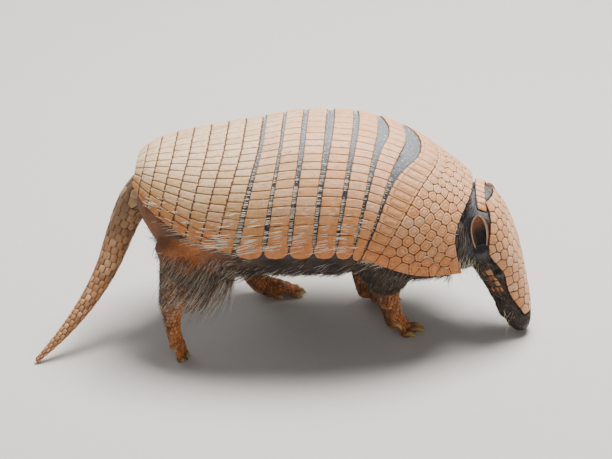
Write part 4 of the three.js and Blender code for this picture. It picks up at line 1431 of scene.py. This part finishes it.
def finishPebbles(tiles):
    spots = spotsOf(tiles)
    spots[:, 2] = np.maximum(spots[:, 2], 0.0001)
    moveSpots(tiles, spots)
    dressed(tiles, legHorn)
    paintAttribute(tiles, "front", ease(-0.35, 0.6, normalsOf(tiles)[:, 0]))
    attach(tiles, "root")


def pebblesOn(skinMap, name, limb, near, far, reach):
    size = pebbleLook["size"]
    rows = max(2, round((far - near) / size))
    marks = np.linspace(near, far, rows + 1)
    counts = []
    for a, b in zip(marks, marks[1:]):
        middle = (a + b) / 2
        girth = reach / 180 * math.pi * float(along(limb, "wide", middle) + along(limb, "deep", middle))
        counts.append(max(3, round(girth / size)))
    cells = stripCells(list((marks - near) / (far - near)), counts, wobble=0.12)

    def lay(share, across, height):
        at = mix(near, far, share)
        return skinMap.dropped(aroundLimb(limb, at, 90 + across * reach, np.zeros(np.shape(at))), height)

    return scuteTiles(name, cells, lay, pebbleCut)


def buildPebbles(skinMap, name, leg):
    limb, look = leg["limb"], pebbleLook
    end = limb["at"][-1]
    tiles = [pebblesOn(skinMap, name + "Pebbles", limb, end * look["from"], end - 3, look["reach"])]
    for toe in toeSets[leg["kind"]]:
        line = toeLine(leg, toe)
        tiles.append(pebblesOn(skinMap, "toePebbles", line, 1.0, line["at"][2] - 0.5, look["toeReach"]))
    finishPebbles(joined(tiles, name.replace("_", "") + "Pebbles"))


def buildCheek(skinMap, side):
    look = cheekLook
    shares = list(np.linspace(0, 1, look["rows"] + 1))
    cells = stripCells(shares, [look["columns"]] * look["rows"], wobble=0.1)

    def lay(share, across, height):
        angle = side * mix(*look["angle"], (across + 1) / 2)
        return skinMap.dropped(fromHead(headPoint(mix(*look["at"], share), angle, 0)), height)

    return scuteTiles("cheek", cells, lay, cheekCut, [(0.9, 0.12, 1.0)])


# the coat is thin tapered tufts, each rooted on the skin or shell and lying the way the hair runs

strandLook = {
    "stations": (0, 0.3, 0.6, 0.85), "fullness": (0.75, 1.0, 0.8, 0.5),
    "rootDepth": 0.4, "tipStray": 0.12, "rollStray": 0.2,
    "patch": 0.0015,  # radius of a tuft's patch on the chart
    "lowest": (-217, -93.5, 0.3), "highest": (217.5, 93.5, 199),  # no tuft reaches outside these
}


def growStrands(name, roots, outs, lies, lengths, widths, lift, fall, places, finish):
    # roots in millimetres; lift is how far a tuft stands off its root, fall is where its tip turns to
    count = len(roots)
    tones = dice.random(count)
    lies = unit(lies - outs * (lies * outs).sum(-1, keepdims=True))
    first = unit(lies + outs * np.broadcast_to(lift, count)[:, None])
    last = unit(lies + fall + dice.normal(0, strandLook["tipStray"], (count, 3)))
    side = unit(np.cross(first, outs + dice.normal(0, strandLook["rollStray"], (count, 3))))
    lengths, widths = np.broadcast_to(lengths, count), np.broadcast_to(widths, count)
    rings, flat, tips = [], [], []
    for t, full in zip(strandLook["stations"] + (1.0,), strandLook["fullness"] + (0.0,)):
        curve = (first * (t - t * t / 2) + last * t * t / 2) * lengths[:, None]
        middle = roots - outs * strandLook["rootDepth"] + curve
        run = unit(first * (1 - t) + last * t)
        up = np.cross(run, side)
        for k in range(3 if t < 1 else 1):
            turn = 2 * math.pi * k / 3
            around = side * math.cos(turn) + up * math.sin(turn)
            ring = middle + around * (widths / 2 * full)[:, None]
            rings.append(np.clip(ring, strandLook["lowest"], strandLook["highest"]))
            spot = np.array([math.cos(turn), math.sin(turn)]) * strandLook["patch"] * (1 - t)
            flat.append(places + spot)
            tips.append(t)
    perStrand = len(rings)
    points = np.stack(rings, 1).reshape(-1, 3)
    flats = np.stack(flat, 1).reshape(-1, 2)
    base = []
    for ring in range(len(strandLook["stations"]) - 1):
        for k in range(3):
            a, b = ring * 3 + k, ring * 3 + (k + 1) % 3
            base += [(a, b, b + 3), (a, b + 3, a + 3)]
    end = perStrand - 1
    base += [(end - 3 + k, end - 3 + (k + 1) % 3, end) for k in range(3)]
    base += [(2, 1, 0)]
    faces = (np.array(base)[None] + perStrand * np.arange(count)[:, None, None]).reshape(-1, 3)
    coat = meshFrom(name, toScene(points), faces)
    paintAttribute(coat, "tip", np.tile(tips, count))
    paintAttribute(coat, "tone", np.repeat(tones, perStrand))
    chart = coat.data.uv_layers.new(name="OFBake")
    corners = np.empty(len(coat.data.loops), int)
    coat.data.loops.foreach_get("vertex_index", corners)
    chart.data.foreach_set("uv", flats[corners].ravel())
    coat.data.polygons.foreach_set("use_smooth", np.ones(len(coat.data.polygons), bool))
    coat.data.materials.append(finish)
    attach(coat, "root")
    return coat


def coatFinish(name, dark, pale, share, roughness=0.6):
    finish = Finish(name, roughness=roughness)
    tone, tip, fine = finish.attribute("tone"), finish.attribute("tip"), finish.noise(300, detail=3)
    mixed = finish.span(tone + (fine - 0.5) * 0.2, share - 0.08, share + 0.08)
    hair = finish.blend(mixed, tint(dark), tint(pale))
    root = finish.blend(finish.span(tip, 0, 0.45), hair, tint(dark))
    return finish.done(finish.blend(finish.span(tip, 0.05, 0.5), root, hair),
                       finish.span(fine, 0.3, 0.7, roughness - 0.1, roughness + 0.1))


# each chart unwraps the skin round one long axis, for the tufts' patches
def chartOf(turn, share):
    return np.stack([mix(0.01, 0.99, turn / (2 * math.pi) + 0.5), np.clip(share, 0.01, 0.99)], -1)


def bodyChart(points):
    return chartOf(np.arctan2(points[:, 1], points[:, 2] - 100), (points[:, 0] + 220) / 440)


def headChart(points):
    inHead = toHead(points)
    return chartOf(np.arctan2(inHead[:, 1], inHead[:, 2] + 12), (inHead[:, 0] + 20) / 160)


def limbChart(points, limb):
    where, _ = nearLimb(points, limb)
    centre, _, across, deepward = limbFrame(limb, where)
    offset = points - centre
    turn = np.arctan2((offset * deepward).sum(-1), (offset * across).sum(-1))
    return chartOf(turn, where / limb["at"][-1])


bristleLook = {"perGap": 210, "stubblePerGap": 360, "pelvic": 300, "scapular": 200, "fringe": 900}


def shellRoots(at, angle, depth):
    # roots that far under the shell, the ways out and back, and the angle scaled to the shell's edge
    angle = angle / 90 * along(carapace, "edge", at)
    spot, forward, out = shellFrame(at, angle)
    return [spot - out * depth, out, -forward], angle


def flankAngles(count, low=0.0):
    share = dice.random(count) ** 0.42
    return np.where(dice.random(count) < 0.5, -1, 1) * mix(low, 88, share)


def buildGapStubble(look, finish):
    rows = []
    for i in range(7):
        angle = dice.uniform(-88, 88, look["stubblePerGap"])
        angle = np.where(np.abs(angle) > 52, angle * dice.uniform(0.2, 1, len(angle)), angle)
        front, rear = lipAt(i, 1, angle), lipAt(i, -1, angle)
        at = front - dice.choice([0.1, 0.5, 0.85], len(angle)) * (front - rear)
        rows.append(shellRoots(at, angle, 1.9)[0])
    roots, outs, lies = (np.concatenate(part) for part in zip(*rows))
    return growStrands("gapStubble", roots, outs, lies, dice.uniform(1.8, 3.0, len(roots)), 0.5, 0.35,
                       outs * 0.2, bodyChart(roots), finish)


def buildFlankBristles(look, finish):
    rows = []
    for i in range(7):
        angle = flankAngles(look["perGap"])
        at = lipAt(i, 1, angle) - dice.uniform(0, 1.0, len(angle))
        row, angle = shellRoots(at, angle, 1.3)
        low = np.clip((np.abs(angle) - 38) / 50, 0, 1)
        rows.append(row + [(5 + (27 - 2.2 * i) * low ** 1.2) * dice.uniform(0.5, 1.3, len(angle))])
    for count, ends, most in ((look["pelvic"], (-112, -42), 9), (look["scapular"], (82, 150), 4)):
        angle = flankAngles(count, 25)
        row, angle = shellRoots(dice.uniform(*ends, count), angle, 0.6)
        low = np.clip((np.abs(angle) - 40) / 50, 0, 1)
        rows.append(row + [(3 + most * low) * dice.uniform(0.6, 1.3, count)])
    roots, outs, lies, lengths = (np.concatenate(part) for part in zip(*rows))
    down = np.array([0, 0, -1.0]) * dice.uniform(0.0, 0.35, (len(roots), 1)) + outs * 0.10
    return growStrands("flankBristles", roots, outs, lies, lengths, dice.uniform(0.28, 0.5, len(roots)),
                       0.12, down, bodyChart(roots), finish)


def buildFringe(look, finish):
    # long soft hair from under the shell's lower edge
    count = look["fringe"]
    at = np.concatenate([dice.uniform(-100, 100, count // 2), dice.uniform(-75, -5, count - count // 2)])
    side = np.where(dice.random(count) < 0.5, -1, 1)
    angle = side * (along(carapace, "edge", at) - dice.uniform(0, 2, count))
    spot, forward, out = shellFrame(at, angle)
    roots = spot - out * 5 - np.array([0, 0, 1.0])
    outs = unit(out * 0.5 + np.array([0, 0, -1.0]))
    lies = -forward + np.array([0, 0, -0.5]) + dice.normal(0, 0.15, (count, 3))
    lengths = mix(9, 24, dice.random(count)) * mix(0.6, 1, ease(60, -30, at))
    return growStrands("lowerFringe", roots, outs, lies, lengths, dice.uniform(0.22, 0.36, count), 0.1,
                       np.array([0.1, 0, -0.35]), bodyChart(roots), finish)


coatZones = {  # middle and spread of the groin's tufts and the whiskers, and where other hair starts
    "groin": {-1: -48, 1: -30}, "groinSpread": 19, "cheekWhiskers": (52, 9), "lipWhiskers": (112, 10),
    "head": (146, 158), "throat": (142, 152), "bellyRear": (-118, -100), "bellyFront": (165, 145),
}
legHairLook = {  # lengths are at the foot and at the top of the leg
    "count": {"hind": 2600, "fore": 1700}, "length": {"hind": (4, 15), "fore": (3, 9)},
    "width": (0.2, 0.38), "lies": (-0.45, 0, -0.2), "fall": (-0.1, 0, -0.45),
}
hairLook = {  # which way it lies and how much it strays, and how long and wide it is in millimetres
    "groin": {"count": 1100, "lies": (-0.55, 0, -0.8), "stray": 0.16, "length": (14, 40),
              "width": (0.24, 0.4), "lift": 0.35, "fall": (-0.35, 0, -0.35)},
    "belly": {"count": 5200, "lies": (-0.9, 0, -0.25), "stray": 0.22, "length": (5, 14),
              "width": (0.24, 0.4), "lift": 0.3, "fall": (0, 0, -0.45)},
    "throat": {"count": 3000, "lies": (-0.15, 0, -1.0), "stray": 0.2, "length": (4, 12),
               "width": (0.24, 0.38), "lift": 0.3, "fall": (-0.1, 0, -0.3)},
    "muzzle": {"count": 5200, "lies": (-1.0, 0, -0.25), "stray": 0.2, "length": (2.4, 5.6),
               "width": (0.24, 0.34), "lift": 0.4, "fall": (0, 0, 0)},
    "whiskers": {"count": 190, "lies": (-0.3, 0, -1.0), "stray": 0.3, "length": (7, 19),
                 "width": 0.3, "lift": 0.5, "fall": (-0.2, 0, -0.5)},
    "tail": {"count": 260, "length": (3, 5.5), "width": 0.26, "lift": 0.3, "fall": (0, 0, 0)},
}


def growFrom(skinMap, name, look, density, chart, finish):
    roots, outs = skinMap.roots(look["count"], density)
    lies = np.array(look["lies"]) + dice.normal(0, look["stray"], (len(roots), 3))
    lengths, widths = dice.uniform(*look["length"], len(roots)), look["width"]
    if isinstance(widths, tuple):
        widths = dice.uniform(*widths, len(roots))
    growStrands(name, roots, outs, lies, lengths, widths, look["lift"], np.array(look["fall"]),
                chart(roots), finish)


def buildCoat(skinMap):
    zones, spots = coatZones, skinMap.centres
    inHead = toHead(spots)
    cream = coatFinish("creamBristle", "d0b488", "fbf1dc", 0.1)
    grey = coatFinish("greyHair", "5c4433", "d2c7b7", 0.64)
    dusky = coatFinish("duskyHair", "231a15", "94836f", 0.74)
    smoky = coatFinish("smokyHair", "3a302c", "a3968a", 0.55)
    bellyFinish = coatFinish("bellyHair", "241a15", "d9cfc0", 0.84)
    white = coatFinish("whiteStubble", "d9d5cc", "fbfaf6", 0.12)
    buildGapStubble(bristleLook, white)
    buildFlankBristles(bristleLook, cream)
    buildFringe(bristleLook, cream)

    onHead = ease(*zones["head"], spots[:, 0]) * (inHead[:, 0] > -8)
    onLeg = np.zeros(len(spots))
    for name, leg in legs.items():
        limb, length = leg["limb"], leg["limb"]["at"][-1]
        where, away = nearLimb(spots, limb)
        close = (away < along(limb, "wide", where) * 1.35) & (spots[:, 2] < 108)
        onLeg = np.maximum(onLeg, close)
        upper = close * (np.sign(spots[:, 1]) == leg["side"]) * ease(0.86, 0.5, where / length)
        roots, outs = skinMap.roots(legHairLook["count"][leg["kind"]], upper)
        placed, _ = nearLimb(roots, limb)
        _, run, _, _ = limbFrame(limb, placed)
        high = 1 - placed / length
        lengths = mix(*legHairLook["length"][leg["kind"]], high) * dice.uniform(0.6, 1.3, len(roots))
        lies = run + np.array(legHairLook["lies"]) + dice.normal(0, 0.2, (len(roots), 3))
        growStrands(name.replace("_", "") + "Hair", roots, outs, lies, lengths,
                    dice.uniform(*legHairLook["width"], len(roots)), 0.3, np.array(legHairLook["fall"]),
                    limbChart(roots, limb), grey if leg["kind"] == "hind" else dusky)

    # the long pale hair that hangs from the groin
    groin = np.zeros(len(spots))
    for side, x in zones["groin"].items():
        hanging = closeTo(spots[:, 0], x, zones["groinSpread"]) * (spots[:, 1] * side > 42)
        groin = np.maximum(groin, hanging * ease(64, 72, spots[:, 2]) * ease(104, 96, spots[:, 2]))
    growFrom(skinMap, "groinHair", hairLook["groin"], groin, bodyChart, grey)

    belly = ease(112, 104, spots[:, 2]) * (1 - onLeg)
    belly = belly * ease(*zones["bellyFront"], spots[:, 0]) * ease(*zones["bellyRear"], spots[:, 0])
    belly = belly * (spots[:, 2] > 40)
    growFrom(skinMap, "bellyHair", hairLook["belly"], belly, bodyChart, bellyFinish)

    throat = ease(*zones["throat"], spots[:, 0]) * ease(46, 24, inHead[:, 0]) * ease(-2, -8, inHead[:, 2])
    throat *= ~((np.abs(inHead[:, 1]) > 25) & (np.abs(inHead[:, 2] + 11) < 9) & (inHead[:, 0] > 3))
    growFrom(skinMap, "throatHair", hairLook["throat"], throat, headChart, smoky)

    eyeGap = fromEyes(inHead)
    edge = along(head, "edge", onSkull(inHead[:, 0]))
    bare = ease(50, 60, inHead[:, 0]) * (np.abs(headAngle(inHead)) > edge + 2) + ease(112, 116, inHead[:, 0])
    muzzle = np.clip(bare, 0, 1) * onHead * ease(7.2, 9.5, eyeGap) * ease(129.5, 126, inHead[:, 0])
    look = hairLook["muzzle"]
    roots, outs = skinMap.roots(look["count"], muzzle)
    lies = fromHead(look["lies"]) - fromHead(np.zeros(3)) + dice.normal(0, look["stray"], (len(roots), 3))
    near = ease(131, 70, toHead(roots)[:, 0])
    lengths = mix(*look["length"], near) * dice.uniform(0.7, 1.3, len(roots))
    growStrands("muzzleHair", roots, outs, lies, lengths, mix(*look["width"], near), look["lift"],
                np.array(look["fall"]), headChart(roots), dusky)

    whisker = closeTo(inHead[:, 0], *zones["cheekWhiskers"]) * ease(-16, -20, inHead[:, 2]) * onHead
    whisker += closeTo(inHead[:, 0], *zones["lipWhiskers"]) * 0.12 * (inHead[:, 2] < -2) * onHead
    growFrom(skinMap, "whiskers", hairLook["whiskers"], whisker, headChart, cream)

    look = hairLook["tail"]
    _, away = nearLimb(spots, tail)
    roots, outs = skinMap.roots(look["count"], (away < 21) & (spots[:, 0] < -124))
    _, run, _, _ = limbFrame(tail, nearLimb(roots, tail)[0])
    growStrands("tailBristles", roots, outs, run, dice.uniform(*look["length"], len(roots)), look["width"],
                look["lift"], np.array(look["fall"]), limbChart(roots, tail),
                coatFinish("tailBristle", "4b3a2c", "d9c8ac", 0.4))


# putting it together

headShield = scuteShield("headShield", "head_shield", headShieldCells(headShieldLook), headLay, (16, 24),
                         cut=headCut, ring=headShieldLook["dome"])
napeShield = scuteShield("napeBand", "nape_band", stripCells([0, 1], [napeBand["scutes"]]), napeLay, (3, 16),
                         cut=headCut)
for shield in (headShield, napeShield):
    inHead = toHead(toDrawing(spotsOf(shield)))
    sideways = np.abs(headAngle(inHead)) / shieldEdge(inHead[:, 0])
    paintAttribute(shield, "low", np.clip(sideways, 0, 1) * 0.55 * (inHead[:, 0] > 2) + 0.12)
    paintAttribute(shield, "fore", np.ones(len(shield.data.vertices)))
print("armadillo: head shield and nape band laid")

skin = buildSkin()
print("armadillo: skin made, faces", len(skin.data.polygons))
for eyeSide, eyeName in ((1, "left_eye"), (-1, "right_eye")):
    buildEye(eyeSide, eyeName.replace("_", "") + "Ball", eyeName)
for legName, leg in legs.items():
    buildClaws(legName, leg)
print("armadillo: eyes and claws made")
skinMap = SkinMap(skin)
buildTail(skinMap)
cheeks = joined([buildCheek(skinMap, side) for side in (-1, 1)], "cheekScutes")
finishPebbles(cheeks)
for legName, leg in legs.items():
    buildPebbles(skinMap, legName, leg)
print("armadillo: tail scutes, cheek scutes and foot pebbles made")
buildCoat(skinMap)
print("armadillo: coat grown")

pickOnly()
